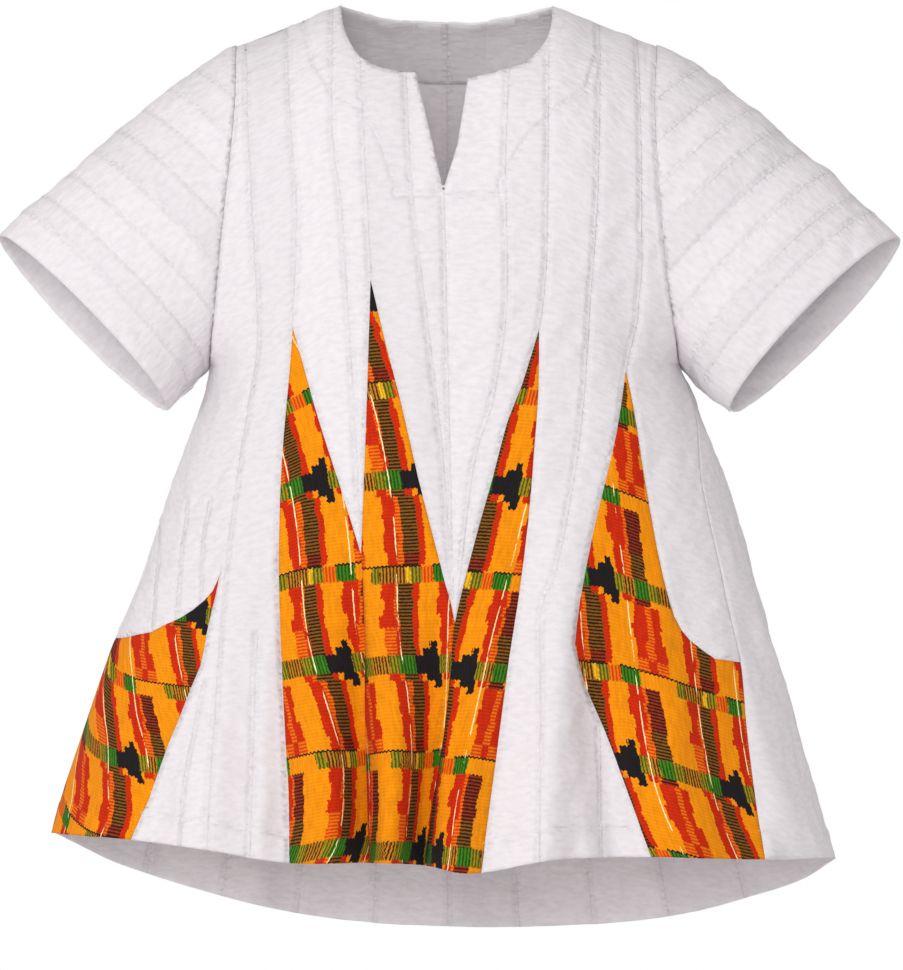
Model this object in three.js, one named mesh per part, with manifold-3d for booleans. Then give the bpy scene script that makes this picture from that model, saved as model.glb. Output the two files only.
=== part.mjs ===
// A white cotton fugu smock: an A-line tunic of narrow sewn strips, with printed gores let into its front,
// short flared sleeves and a slit neck. It is filled out and hollow, as it hangs from the shoulders.
// Millimetres, +Z up. The front faces -Y and the wearer's right side is at -X.
// The origin is midway between the two side points of the neck, where the shoulders carry the cloth.

import * as THREE from "three";
import { mergeVertices } from "three/addons/utils/BufferGeometryUtils.js";
import Module from "manifold-3d";

const wasm = await Module();
wasm.setup();

// ---------------------------------------------------------------- driving dimensions

const SHOULDER_WIDTH = 370; // between the armhole seams, over the shoulders
const NECK_WIDTH = 186; // between the side points of the neck
const SHOULDER_DROP = 36; // from the side point of the neck down to the armhole seam
const SHOULDER_ROUND = 115; // height over which the cloth turns from the shoulder seam to the chest
const ARMPIT_DROP = 318; // from the side point of the neck down to the foot of the armhole
const ARMHOLE_FRONT = 84; // how far the armhole seam stands in front of the shoulder line
const ARMHOLE_BACK = 76; // and behind it
const ARMHOLE_BELLY = 0.55; // share of the armhole's height at which it is deepest
const ARMPIT_SOFTNESS = 1.6; // how gently the body closes below the armhole: 0.5 is a crease
const CLOTH = 1.6; // wall thickness of the sewn cloth
const FACING_CLOTH = 1; // wall thickness of the facing inside the back neck
const BACK_NECK_DROP = 11; // sag of the back neck below its side points
const SEAM_GAP = 0.3; // clearance between neighbouring pieces at a seam
const SLEEVE_GAP = 0.6; // clearance at the armhole seams
const ARMPIT_LEVEL = 0.4; // where the armpit lies between the shoulder, 0, and the hem, 1
const SQUARENESS = 2.3; // of the body's section: 2 is an ellipse, more is squarer

// ---------------------------------------------------------------- tables of sizes

// Half widths of the body at each level, and how far its middle stands in front of and behind the side seams.
const BODY_LEVELS = [
  { z: 0, right: 186, left: 186, front: 84, back: 74 },
  { z: -40, right: 185, left: 184, front: 92, back: 82 },
  { z: -100, right: 185, left: 181, front: 103, back: 92 },
  { z: -200, right: 195, left: 187, front: 118, back: 99 },
  { z: -310, right: 207, left: 202, front: 125, back: 101 },
  { z: -345, right: 214, left: 217, front: 126, back: 103 },
  { z: -420, right: 241, left: 245, front: 129, back: 109 },
  { z: -500, right: 267, left: 271, front: 136, back: 119 },
  { z: -568, right: 295, left: 288, front: 144, back: 128 },
  { z: -650, right: 323, left: 311, front: 155, back: 140 },
  { z: -700, right: 339, left: 326, front: 162, back: 146 },
  { z: -752, right: 352, left: 343, front: 168, back: 152 },
];

// The hems, seen from the front.
const FRONT_HEM = [
  { x: -345, z: -729 },
  { x: -273, z: -735 },
  { x: -207, z: -744 },
  { x: -135, z: -755 },
  { x: -68, z: -755 },
  { x: -20, z: -757 },
  { x: 20, z: -764 },
  { x: 95, z: -752 },
  { x: 175, z: -750 },
  { x: 275, z: -752 },
  { x: 343, z: -751 },
];
const BACK_HEM = [
  { x: -345, z: -729 },
  { x: -295, z: -755 },
  { x: -217, z: -781 },
  { x: -139, z: -800 },
  { x: -72, z: -809 },
  { x: 10, z: -813 },
  { x: 74, z: -813 },
  { x: 153, z: -809 },
  { x: 222, z: -799 },
  { x: 279, z: -783 },
  { x: 317, z: -769 },
  { x: 343, z: -751 },
];

// How far in from the outermost line of the body the wearer's left side seam stands, on the front.
const LEFT_SEAM = [
  { z: -318, inward: 0 },
  { z: -360, inward: 5 },
  { z: -424, inward: 24 },
  { z: -514, inward: 34 },
  { z: -578, inward: 36 },
  { z: -640, inward: 48 },
  { z: -751, inward: 68 },
];

// Standing folds. Each starts from nothing at its top and is full at the hem. Height is out from the body, and
// negative for a trough. The two spreads are how far it reaches to each side at the hem.
const FRONT_FOLDS = [
  { name: "side gore swell", top: [-246, -540], hem: [-306, -735], toRight: 30, toLeft: 34, height: 7 },
  { name: "right strip ridge", top: [-172, -330], hem: [-212, -744], toRight: 46, toLeft: 44, height: 13 },
  { name: "outer gore seam", top: [-144, -380], hem: [-137, -755], toRight: 26, toLeft: 18, height: -11 },
  { name: "outer gore ridge", top: [-126, -380], hem: [-100, -755], toRight: 30, toLeft: 28, height: 11 },
  { name: "first valley", top: [-80, -430], hem: [-66, -755], toRight: 32, toLeft: 14, height: -28 },
  { name: "inner gore ridge", top: [-60, -350], hem: [-42, -756], toRight: 22, toLeft: 26, height: 11 },
  { name: "middle valley", top: [2, -480], hem: [-20, -757], toRight: 36, toLeft: 13, height: -36 },
  { name: "left gore ridge", top: [54, -390], hem: [4, -764], toRight: 16, toLeft: 34, height: 13 },
  { name: "left strip ridge", top: [122, -330], hem: [78, -753], toRight: 44, toLeft: 36, height: 17 },
  { name: "broad gore valley", top: [108, -490], hem: [146, -750], toRight: 30, toLeft: 30, height: -22 },
  { name: "broad gore ridge", top: [168, -420], hem: [212, -751], toRight: 44, toLeft: 40, height: 13 },
];
const BACK_FOLDS = [
  { name: "right outer flute", top: [-190, -420], hem: [-262, -766], toRight: 40, toLeft: 44, height: 12 },
  { name: "right trough", top: [-120, -470], hem: [-176, -791], toRight: 38, toLeft: 34, height: -13 },
  { name: "right inner flute", top: [-62, -380], hem: [-92, -806], toRight: 48, toLeft: 44, height: 15 },
  { name: "middle trough", top: [4, -490], hem: [2, -813], toRight: 40, toLeft: 42, height: -14 },
  { name: "left inner flute", top: [66, -420], hem: [98, -812], toRight: 42, toLeft: 46, height: 13 },
  { name: "left trough", top: [122, -510], hem: [184, -804], toRight: 36, toLeft: 34, height: -12 },
  { name: "left outer flute", top: [186, -440], hem: [256, -790], toRight: 44, toLeft: 40, height: 12 },
];

// The front neck and its slit, seen from the front, down the wearer's right side and up the left.
const NECK_RIGHT = [
  [-93, 0], [-92, -14], [-89, -28], [-84, -40], [-75, -53], [-62, -62], [-49, -66], [-27, -69],
];
const SLIT = [[-19, -104], [-11, -140], [-4, -170], [-2, -170], [9, -135], [15, -97]];
const NECK_LEFT = [[18, -75], [31, -71], [50, -67], [64, -62], [78, -51], [88, -35], [92, -17], [93, 0]];

// The outer edge of the facing inside the back neck.
const BACK_FACING = [
  [-132, 40], [-132, -22], [-110, -40], [-80, -51], [-40, -59], [0, -61],
  [40, -59], [80, -51], [110, -40], [132, -22], [132, 40],
];

// Seams that two gores share, down the valleys between them and on past the hem.
const FIRST_VALLEY = [[-74, -490], [-71, -560], [-70, -640], [-66, -755], [-63, -860]];
const MIDDLE_VALLEY = [[7, -549], [1, -600], [-8, -679], [-19, -755], [-32, -860]];

// The gores, seen from the front. Each edge runs from the point down past the hem, which trims it, in one or
// more runs that are each smooth.
const GORES = [
  {
    name: "gore_side_right",
    right: [
      [[-195, -502], [-203, -520], [-220, -536], [-246, -550], [-281, -558], [-420, -562]],
      [[-420, -860]],
    ],
    left: [
      [[-195, -502], [-201, -527], [-208, -558], [-213, -585], [-228, -621], [-257, -699], [-273, -735],
        [-316, -860]],
    ],
  },
  {
    name: "gore_outer_right",
    right: [
      [[-134, -292], [-140, -371], [-144, -440], [-145, -513], [-141, -600], [-137, -680], [-135, -755],
        [-134, -860]],
    ],
    left: [[[-134, -292], [-122, -335], [-107, -384], [-90, -437], [-74, -490]], FIRST_VALLEY],
  },
  {
    name: "gore_inner_right",
    right: [[[-66, -252], [-68, -330], [-71, -420], [-74, -490]], FIRST_VALLEY],
    left: [[[-66, -252], [-54, -303], [-39, -361], [-24, -427], [-7, -493], [7, -549]], MIDDLE_VALLEY],
  },
  {
    name: "gore_inner_left",
    right: [
      [[80, -295], [65, -343], [52, -376], [40, -422], [27, -468], [14, -518], [7, -549]],
      MIDDLE_VALLEY,
    ],
    left: [
      [[80, -295], [79, -348], [75, -399], [70, -462], [62, -526], [54, -577], [42, -670], [29, -764],
        [16, -860]],
    ],
  },
  {
    name: "gore_broad_left",
    right: [
      [[155, -329], [146, -384], [135, -432], [125, -473], [114, -530], [110, -568]],
      [[110, -568], [120, -604], [136, -642], [151, -682], [175, -750], [212, -860]],
    ],
    left: [
      [[155, -329], [161, -361], [168, -407], [176, -452], [187, -509], [197, -543], [210, -563],
        [230, -578]],
      [[230, -578], [253, -581], [420, -586]],
      [[420, -860]],
    ],
  },
];

// The sleeves. A cuff is an oval, its long way down and outward, opened a little towards the front.
const SLEEVES = [
  { name: "sleeve_right", side: -1, middle: [-319, -30, -282], forward: 11 },
  { name: "sleeve_left", side: 1, middle: [323, -32, -284], forward: 15 },
];
const CUFF_HALF_LENGTH = 106;
const CUFF_HALF_DEPTH = 56;
const CUFF_SLOPE = 45.6; // of the cuff against level ground, in degrees
const SLEEVE_CAP = 9; // how much the top of the sleeve stands out above a straight line

// How finely the cloth is divided.
const ROWS_ABOVE_ARMPIT = 12;
const ROWS_BELOW_ARMPIT = 13;
const FRONT_COLUMNS = 56;
const BACK_COLUMNS = 32;
const SLEEVE_GRID = { rows: 8, columns: 28 };

// ---------------------------------------------------------------- curves

const { lerp, clamp, degToRad } = THREE.MathUtils;
const ease = (t) => t * t * (3 - 2 * t);

// A smooth curve through one column of a table against another. It stays level beyond both ends.
function curve(rows, key, value) {
  const at = rows.map((row) => row[key]);
  const to = rows.map((row) => row[value]);
  const last = rows.length - 1;
  const slopes = rows.map((_, i) => {
    const a = Math.max(i - 1, 0);
    const b = Math.min(i + 1, last);
    return (to[b] - to[a]) / (at[b] - at[a]);
  });
  return (x) => {
    let i = 0;
    while (i < last - 1 && (at[1] > at[0] ? x > at[i + 1] : x < at[i + 1])) i += 1;
    const width = at[i + 1] - at[i];
    const t = clamp((x - at[i]) / width, 0, 1);
    const start = (1 + 2 * t) * (1 - t) ** 2 * to[i] + t * (1 - t) ** 2 * slopes[i] * width;
    return start + t * t * (3 - 2 * t) * to[i + 1] + t * t * (t - 1) * slopes[i + 1] * width;
  };
}

const rightWidth = curve(BODY_LEVELS, "z", "right");
const leftWidth = curve(BODY_LEVELS, "z", "left");
const frontDepth = curve(BODY_LEVELS, "z", "front");
const backDepth = curve(BODY_LEVELS, "z", "back");
const frontHem = curve(FRONT_HEM, "x", "z");
const backHem = curve(BACK_HEM, "x", "z");
const leftSeam = curve(LEFT_SEAM, "z", "inward");

// Height of the shoulder seam at x. Over the neck it stays level, and the neck is cut out of it.
function shoulderLine(x) {
  const run = (SHOULDER_WIDTH - NECK_WIDTH) / 2;
  return -SHOULDER_DROP * clamp((Math.abs(x) - NECK_WIDTH / 2) / run, 0, 1);
}

// ---------------------------------------------------------------- the surface of the body

// How far a set of folds pushes the cloth out at x and z.
function foldHeight(folds, x, z) {
  let sum = 0;
  for (const { top, hem, toRight, toLeft, height } of folds) {
    const down = clamp((top[1] - z) / (top[1] - hem[1]), 0, 1.1);
    const off = x - lerp(top[0], hem[0], down);
    const spread = lerp(0.55, 1, Math.min(down, 1)) * (off < 0 ? toRight : toLeft);
    const across = clamp(Math.abs(off) / spread, 0, 1);
    sum += height * ease(Math.min(down, 1)) * (0.5 + 0.5 * Math.cos(Math.PI * across));
  }
  return sum;
}

// Half depth of the armhole at z, of a given depth where it is deepest. Below the armpit it is nothing.
// Further in, at a share r of the half width below 1, the cloth closes more softly than at the armhole's edge.
function armholeDepth(z, deepest, r) {
  const belly = ARMHOLE_BELLY * ARMPIT_DROP;
  const below = clamp((-z - belly) / (ARMPIT_DROP - belly), 0, 1);
  return deepest * (1 - below ** 2) ** lerp(ARMPIT_SOFTNESS, 0.5, Math.abs(r) ** 6);
}

// Where the two hems meet at the side, told from the share r of the half width.
const cornerHeight = (r) => lerp(FRONT_HEM[0].z, FRONT_HEM[FRONT_HEM.length - 1].z, (r + 1) / 2);

// Height of a level at the side of the body: 0 is the shoulder, ARMPIT_LEVEL the armpit and 1 the hem.
function sideHeight(r, level) {
  if (level < ARMPIT_LEVEL) return lerp(-SHOULDER_DROP, -ARMPIT_DROP, level / ARMPIT_LEVEL);
  return lerp(-ARMPIT_DROP, cornerHeight(r), (level - ARMPIT_LEVEL) / (1 - ARMPIT_LEVEL));
}

// A point on the outside of the body. turn goes round it: -1 is the wearer's right side, 0 the middle of the
// front, 1 the left side, 2 the middle of the back and 3 the right side again.
function bodyPoint(turn, level) {
  const r = Math.sin((Math.PI / 2) * turn);
  const front = turn <= 1;
  const sideZ = sideHeight(r, level);
  const widthAt = r < 0 ? rightWidth : leftWidth;
  const x = r * widthAt(sideZ);
  const top = shoulderLine(x);
  const down = (sideZ + SHOULDER_DROP) / (cornerHeight(r) + SHOULDER_DROP);
  const hem = (front ? frontHem : backHem)(r * widthAt(cornerHeight(r)));
  const z = lerp(top, hem, down);
  const closed = ease(clamp((-sideZ - 150) / (ARMPIT_DROP - 150), 0, 1));
  const full = Math.max(0, 1 - Math.abs(r) ** SQUARENESS) ** lerp(0.95, 0.5, closed);
  const side = armholeDepth(sideZ, front ? ARMHOLE_FRONT : ARMHOLE_BACK, r);
  const middle = (front ? frontDepth : backDepth)(sideZ);
  const round = Math.sqrt(1 - (1 - clamp((top - z) / SHOULDER_ROUND, 0, 1)) ** 2);
  const fold = foldHeight(front ? FRONT_FOLDS : BACK_FOLDS, x, z) * Math.min(1, 2.5 * full);
  const depth = round * lerp(side, middle, full) + fold + SEAM_GAP / 2;
  return new THREE.Vector3(x, front ? -depth : depth, z);
}

// The same with turn wrapped round, and a level above the shoulder seam taken over to the other side.
function wrappedPoint(turn, level) {
  const over = level < 0 ? 2 - turn : turn;
  return bodyPoint(((((over + 1) % 4) + 4) % 4) - 1, Math.abs(level));
}

// A node of the body's wall: where it is and which way is out. At the armhole the cloth ends at its edge, and
// the foot of the armhole belongs to the cloth below it.
function bodyNode(turn, level) {
  const step = 0.004;
  const open = level < ARMPIT_LEVEL - 0.001;
  const low = turn <= 1 ? -1 : 1;
  const before = open ? Math.max(turn - step, low) : turn - step;
  const after = open ? Math.min(turn + step, low + 2) : turn + step;
  const across = wrappedPoint(after, level).sub(wrappedPoint(before, level));
  const above = open ? level - step : Math.max(level - step, ARMPIT_LEVEL);
  const down = wrappedPoint(turn, level + step).sub(wrappedPoint(turn, above));
  return { point: bodyPoint(turn, level), out: down.cross(across).normalize() };
}

// The turn at which the wearer's left side seam stands on a level.
function leftSeamTurn(level) {
  const z = sideHeight(1, level);
  const width = leftWidth(z);
  return level <= ARMPIT_LEVEL ? 1 : (2 / Math.PI) * Math.asin((width - leftSeam(z)) / width);
}

// ---------------------------------------------------------------- walls

// A closed wall from rows of nodes on its outside: set in from there by inset, and then as thick as stated.
function wall(rows, { thickness = CLOTH, inset = 0, tube = false } = {}) {
  const columns = rows[0].length;
  const strips = tube ? columns : columns - 1;
  const nodes = rows.flat();
  const skin = (depth) =>
    nodes.flatMap(({ point, out }) => point.clone().addScaledVector(out, -depth).toArray());
  const faces = [];
  const quad = (a, b, c, d) => faces.push(a, b, c, a, c, d);
  const outer = (i, j) => i * columns + (j % columns);
  const inner = (i, j) => nodes.length + outer(i, j);
  for (let i = 0; i < rows.length - 1; i += 1) {
    for (let j = 0; j < strips; j += 1) {
      quad(outer(i, j), outer(i + 1, j), outer(i + 1, j + 1), outer(i, j + 1));
      quad(inner(i, j), inner(i, j + 1), inner(i + 1, j + 1), inner(i + 1, j));
    }
    if (!tube) {
      quad(outer(i + 1, 0), outer(i, 0), inner(i, 0), inner(i + 1, 0));
      quad(outer(i, strips), outer(i + 1, strips), inner(i + 1, strips), inner(i, strips));
    }
  }
  const foot = rows.length - 1;
  for (let j = 0; j < strips; j += 1) {
    quad(outer(0, j), outer(0, j + 1), inner(0, j + 1), inner(0, j));
    quad(outer(foot, j + 1), outer(foot, j), inner(foot, j), inner(foot, j + 1));
  }
  const geometry = new THREE.BufferGeometry();
  const position = [...skin(inset), ...skin(inset + thickness)];
  geometry.setAttribute("position", new THREE.Float32BufferAttribute(position, 3));
  geometry.setIndex(faces);
  return geometry;
}

function solidOf(geometry) {
  const bare = geometry.clone();
  bare.deleteAttribute("normal");
  bare.deleteAttribute("uv");
  const merged = mergeVertices(bare, 1e-4);
  return new wasm.Manifold(
    new wasm.Mesh({
      numProp: 3,
      vertProperties: new Float32Array(merged.attributes.position.array),
      triVerts: new Uint32Array(merged.index.array),
    }),
  );
}

function geometryOf(solid) {
  const { vertProperties, triVerts } = solid.getMesh();
  const geometry = new THREE.BufferGeometry();
  geometry.setAttribute("position", new THREE.Float32BufferAttribute(vertProperties, 3));
  geometry.setIndex([...triVerts]);
  geometry.computeVertexNormals();
  return geometry;
}

// The levels of the rows, closer together over the shoulder. One lies on the armpit.
const LEVELS = [
  ...Array.from({ length: ROWS_ABOVE_ARMPIT }, (_, i) => ARMPIT_LEVEL * (i / ROWS_ABOVE_ARMPIT) ** 1.35),
  ...Array.from({ length: ROWS_BELOW_ARMPIT + 1 }, (_, i) => lerp(ARMPIT_LEVEL, 1, i / ROWS_BELOW_ARMPIT)),
];

// The front as one sheet, before its neck and gores are cut out.
function frontSheet(columns) {
  return LEVELS.map((level) => {
    const last = Math.sin((Math.PI / 2) * leftSeamTurn(level));
    return Array.from({ length: columns + 1 }, (_, j) => {
      const even = (2 * j) / columns - 1;
      const r = lerp(-1, last, (1 + lerp(even, Math.sin((Math.PI / 2) * even), 0.6)) / 2);
      return bodyNode((2 / Math.PI) * Math.asin(clamp(r, -1, 1)), level);
    });
  });
}

// The back, from the wearer's left side seam round to the right one.
function backSheet(columns) {
  const seam = 0.002; // turn that the seam at the left takes up
  return LEVELS.map((level) => {
    const start = leftSeamTurn(level);
    const first = start < 1 ? start + seam : 1.00001;
    return Array.from({ length: columns + 1 }, (_, j) => bodyNode(lerp(first, 3, j / columns), level));
  });
}

// A point of the armhole's edge. angle goes round the sleeve: 0 is the shoulder, then come the front and the
// armpit.
function armholePoint(side, angle) {
  const level = (ARMPIT_LEVEL * (1 - Math.cos(angle))) / 2;
  const back = side < 0 ? 3 : 1.00001;
  return bodyPoint(Math.sin(angle) >= 0 ? side : back, level);
}

// A sleeve from its armhole to its cuff, as rings of nodes.
function sleeveRings({ side, middle, forward }, { rows, columns }) {
  const slope = degToRad(CUFF_SLOPE);
  const tilt = degToRad(forward);
  const up = new THREE.Vector3(side * Math.cos(slope), 0, Math.sin(slope));
  const along = new THREE.Vector3(side * Math.sin(slope), 0, -Math.cos(slope));
  const ahead = new THREE.Vector3(0, -Math.cos(tilt), 0).addScaledVector(along, -Math.sin(tilt));
  const cap = new THREE.Vector3(side * 0.5, 0, 0.87);
  const points = Array.from({ length: rows + 1 }, (_, i) =>
    Array.from({ length: columns }, (_, j) => {
      const angle = (-side * 2 * Math.PI * j) / columns;
      const share = i / rows;
      const cuff = new THREE.Vector3(...middle)
        .addScaledVector(up, CUFF_HALF_LENGTH * Math.cos(angle))
        .addScaledVector(ahead, CUFF_HALF_DEPTH * Math.sin(angle));
      const swell = SLEEVE_CAP * Math.sin(Math.PI * share ** 0.7) * Math.max(0, Math.cos(angle));
      const edge = armholePoint(side, angle).add(new THREE.Vector3(side * SLEEVE_GAP, 0, 0));
      return edge.lerp(cuff, share).addScaledVector(cap, swell);
    }),
  );
  return points.map((ring, i) =>
    ring.map((point, j) => {
      const down = points[Math.min(i + 1, rows)][j].clone().sub(points[Math.max(i - 1, 0)][j]);
      const across = ring[(j + 1) % columns].clone().sub(ring[(j + columns - 1) % columns]);
      const out = down.cross(across);
      if (i === 0) out.x = 0; // the seam allowance lies flat against the body's
      return { point, out: out.normalize() };
    }),
  );
}

// ---------------------------------------------------------------- outlines

const vectors = (points) => points.map(([x, z]) => new THREE.Vector2(x, z));

function smooth(points) {
  const corners = vectors(points);
  return corners.length < 3 ? corners : new THREE.SplineCurve(corners).getPoints(2 * (corners.length - 1));
}

// The outline let out by distance, or taken in where that is negative.
function letOut(points, distance) {
  const turned = THREE.ShapeUtils.isClockWise(points) ? -1 : 1;
  return points.map((point, i) => {
    const before = points[(i + points.length - 1) % points.length];
    const after = points[(i + 1) % points.length];
    const a = point.clone().sub(before).normalize();
    const b = after.clone().sub(point).normalize();
    const normal = new THREE.Vector2(a.y + b.y, -a.x - b.x).normalize();
    const reach = distance / Math.max(0.1, normal.dot(new THREE.Vector2(a.y, -a.x)));
    return point.clone().addScaledVector(normal, turned * reach);
  });
}

// A prism with an outline in x and z. It reaches forward from the shoulder line, or back from it.
function prism(outline, { back = false } = {}) {
  const reach = 300;
  const shape = new THREE.Shape(outline);
  const geometry = new THREE.ExtrudeGeometry(shape, { depth: reach, bevelEnabled: false });
  geometry.rotateX(Math.PI / 2);
  geometry.translate(0, back ? reach - 2 : 2, 0);
  return solidOf(geometry);
}

// The outline of a gore, down its right edge and up its left one, with each corner in it once.
function goreOutline({ right, left }) {
  const points = [...right.flatMap(smooth), ...left.flatMap(smooth).reverse()];
  return points.filter((point, i) => point.distanceTo(points[(i + 1) % points.length]) > 0.5);
}

function frontNeckOutline() {
  const side = NECK_WIDTH / 2;
  return [
    new THREE.Vector2(-side, 60),
    ...smooth(NECK_RIGHT),
    ...vectors(SLIT),
    ...smooth(NECK_LEFT),
    new THREE.Vector2(side, 60),
  ];
}

function backNeckOutline() {
  const side = NECK_WIDTH / 2;
  const steps = 14;
  const arc = Array.from({ length: steps + 1 }, (_, i) => {
    const x = lerp(-side, side, i / steps);
    return new THREE.Vector2(x, -BACK_NECK_DROP * Math.max(0, Math.cos((Math.PI * x) / 2 / side)) ** 1.2);
  });
  return [new THREE.Vector2(-side, 60), ...arc, new THREE.Vector2(side, 60)];
}

// ---------------------------------------------------------------- assembly

const cotton = { color: 0xf4f2f6, roughness: 0.92, metalness: 0 };
const print = { color: 0xe8901f, roughness: 0.9, metalness: 0 };

const smock = new THREE.Group();
smock.name = "fugu_smock";

function addPiece(name, geometry, finish) {
  const piece = new THREE.Mesh(geometry, new THREE.MeshStandardMaterial(finish));
  piece.name = name;
  smock.add(piece);
}

const frontRows = frontSheet(FRONT_COLUMNS);
const backRows = backSheet(BACK_COLUMNS);
const frontNeck = prism(frontNeckOutline());
const backNeck = prism(backNeckOutline(), { back: true });
const goreOutlines = GORES.map(goreOutline);

const wholeFront = solidOf(wall(frontRows));
const front = goreOutlines.reduce(
  (cloth, outline) => cloth.subtract(prism(letOut(outline, SEAM_GAP / 2))),
  wholeFront.subtract(frontNeck),
);
addPiece("front_panel", geometryOf(front), cotton);
addPiece("back_panel", geometryOf(solidOf(wall(backRows)).subtract(backNeck)), cotton);

for (const sleeve of SLEEVES) {
  addPiece(sleeve.name, geometryOf(solidOf(wall(sleeveRings(sleeve, SLEEVE_GRID), { tube: true }))), cotton);
}

GORES.forEach(({ name }, i) => {
  const gore = wholeFront.intersect(prism(letOut(goreOutlines[i], -SEAM_GAP / 2)));
  addPiece(name, geometryOf(gore), print);
});

const facing = { thickness: FACING_CLOTH, inset: CLOTH + SEAM_GAP };
const backFacing = solidOf(wall(backRows.slice(0, 6), facing));
addPiece(
  "back_neck_facing",
  geometryOf(backFacing.intersect(prism(vectors(BACK_FACING), { back: true })).subtract(backNeck)),
  cotton,
);

export default smock;
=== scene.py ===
"""A white crinkled cotton fugu smock with printed gores, dressed over its CAD frame.

The cloth is worked out in millimetres from the same tables as the frame's solids and becomes metres only when
a mesh is made. +Z is up, the front faces -Y and the wearer's right side is at -X.
"""

import logging
import math
from dataclasses import dataclass
from enum import Enum

import bpy
import numpy as np
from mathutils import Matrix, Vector
from mathutils.geometry import delaunay_2d_cdt
from mathutils.kdtree import KDTree


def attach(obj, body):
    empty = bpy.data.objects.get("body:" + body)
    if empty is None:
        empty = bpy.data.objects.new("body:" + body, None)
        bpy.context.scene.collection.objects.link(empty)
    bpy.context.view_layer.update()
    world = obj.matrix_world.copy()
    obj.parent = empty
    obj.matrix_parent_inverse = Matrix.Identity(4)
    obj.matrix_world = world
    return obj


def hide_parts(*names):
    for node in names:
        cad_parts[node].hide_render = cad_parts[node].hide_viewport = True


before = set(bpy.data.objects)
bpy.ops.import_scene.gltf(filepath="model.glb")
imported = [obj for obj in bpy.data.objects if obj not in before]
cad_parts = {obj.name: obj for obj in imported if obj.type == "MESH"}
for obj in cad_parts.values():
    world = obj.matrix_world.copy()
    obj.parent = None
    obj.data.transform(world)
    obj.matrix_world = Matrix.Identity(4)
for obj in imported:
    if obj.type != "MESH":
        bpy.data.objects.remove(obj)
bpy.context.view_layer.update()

logging.basicConfig(level=logging.INFO, format="%(message)s")
log = logging.getLogger("smock")

MM = 0.001
ROOT = "root"
WHITE_SLOT = "white_cotton"
PRINT_SLOT = "kente_print"

LINE_STEP = 2.5  # mm between the points of a line that a sheet's edges follow

Outline = list[tuple[float, float]]


# ---------------------------------------------------------------- small mathematics


def ease(t: np.ndarray) -> np.ndarray:
    """Return the smooth step of t, which is held between 0 and 1."""
    t = np.clip(t, 0.0, 1.0)
    return t * t * (3.0 - 2.0 * t)


def mix(a: np.ndarray, b: np.ndarray, t: np.ndarray) -> np.ndarray:
    """Return the blend of a and b, with b at t = 1."""
    return a + (b - a) * t


class Curve:
    """A smooth curve through the points of a table, level beyond both ends."""

    def __init__(self, points: list[tuple[float, float]]) -> None:
        """Sort the points and work out the slope at each.

        Args:
            points: pairs of where and how much.
        """
        rows = sorted(points)
        self.at = np.array([row[0] for row in rows], float)
        self.to = np.array([row[1] for row in rows], float)
        low = np.maximum(np.arange(len(rows)) - 1, 0)
        high = np.minimum(np.arange(len(rows)) + 1, len(rows) - 1)
        self.slope = (self.to[high] - self.to[low]) / (self.at[high] - self.at[low])

    def __call__(self, x: np.ndarray) -> np.ndarray:
        """Return the curve's height at each x."""
        x = np.clip(x, self.at[0], self.at[-1])
        i = np.clip(np.searchsorted(self.at, x, side="right") - 1, 0, len(self.at) - 2)
        width = self.at[i + 1] - self.at[i]
        t = (x - self.at[i]) / width
        start = (1 + 2 * t) * (1 - t) ** 2 * self.to[i] + t * (1 - t) ** 2 * self.slope[i] * width
        return start + t * t * (3 - 2 * t) * self.to[i + 1] + t * t * (t - 1) * self.slope[i + 1] * width


def hashed(i: np.ndarray, j: np.ndarray, seed: np.ndarray) -> np.ndarray:
    """Return a number from -1 to 1 that depends only on two whole numbers and a seed.

    Args:
        i: first whole number.
        j: second whole number.
        seed: picks another field.

    Returns:
        The number at each place.
    """
    i, j, seed = (whole.astype(np.int64) for whole in (i, j, seed))
    mixed = i * 374761393 + j * 668265263 + seed * 974634777
    mixed = (mixed ^ (mixed >> 13)) & 0xFFFFFFFF
    mixed = (mixed * 1274126177) & 0xFFFFFFFF
    mixed = mixed ^ (mixed >> 16)
    return (mixed & 0xFFFFFF) / float(0x7FFFFF) - 1.0


def noise(x: np.ndarray, y: np.ndarray, seed: np.ndarray | int = 0) -> np.ndarray:
    """Return smooth noise from -1 to 1 with features about one unit across.

    Args:
        x: first coordinate.
        y: second coordinate.
        seed: whole number, or one for each point, that picks another field.

    Returns:
        The noise at each point.
    """
    seed = np.broadcast_to(np.asarray(seed), np.shape(x))
    i = np.floor(x).astype(np.int64)
    j = np.floor(y).astype(np.int64)
    u = ease(x - i)
    v = ease(y - j)
    low = mix(hashed(i, j, seed), hashed(i + 1, j, seed), u)
    high = mix(hashed(i, j + 1, seed), hashed(i + 1, j + 1, seed), u)
    return mix(low, high, v)


def unit(vectors: np.ndarray) -> np.ndarray:
    """Return vectors, one row each, with a length of 1."""
    return vectors / np.maximum(np.linalg.norm(vectors, axis=1, keepdims=True), 1e-9)


def resample(points: np.ndarray, step: float) -> np.ndarray:
    """Return points along a polyline no further apart than step, with its corners kept.

    Args:
        points: the polyline.
        step: the largest distance.

    Returns:
        The points.
    """
    out = [points[:1]]
    for a, b in zip(points[:-1], points[1:]):
        count = max(1, math.ceil(float(np.linalg.norm(b - a)) / step))
        out.append(a + (b - a) * (np.arange(1, count + 1) / count)[:, None])
    return np.concatenate(out)


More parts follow.
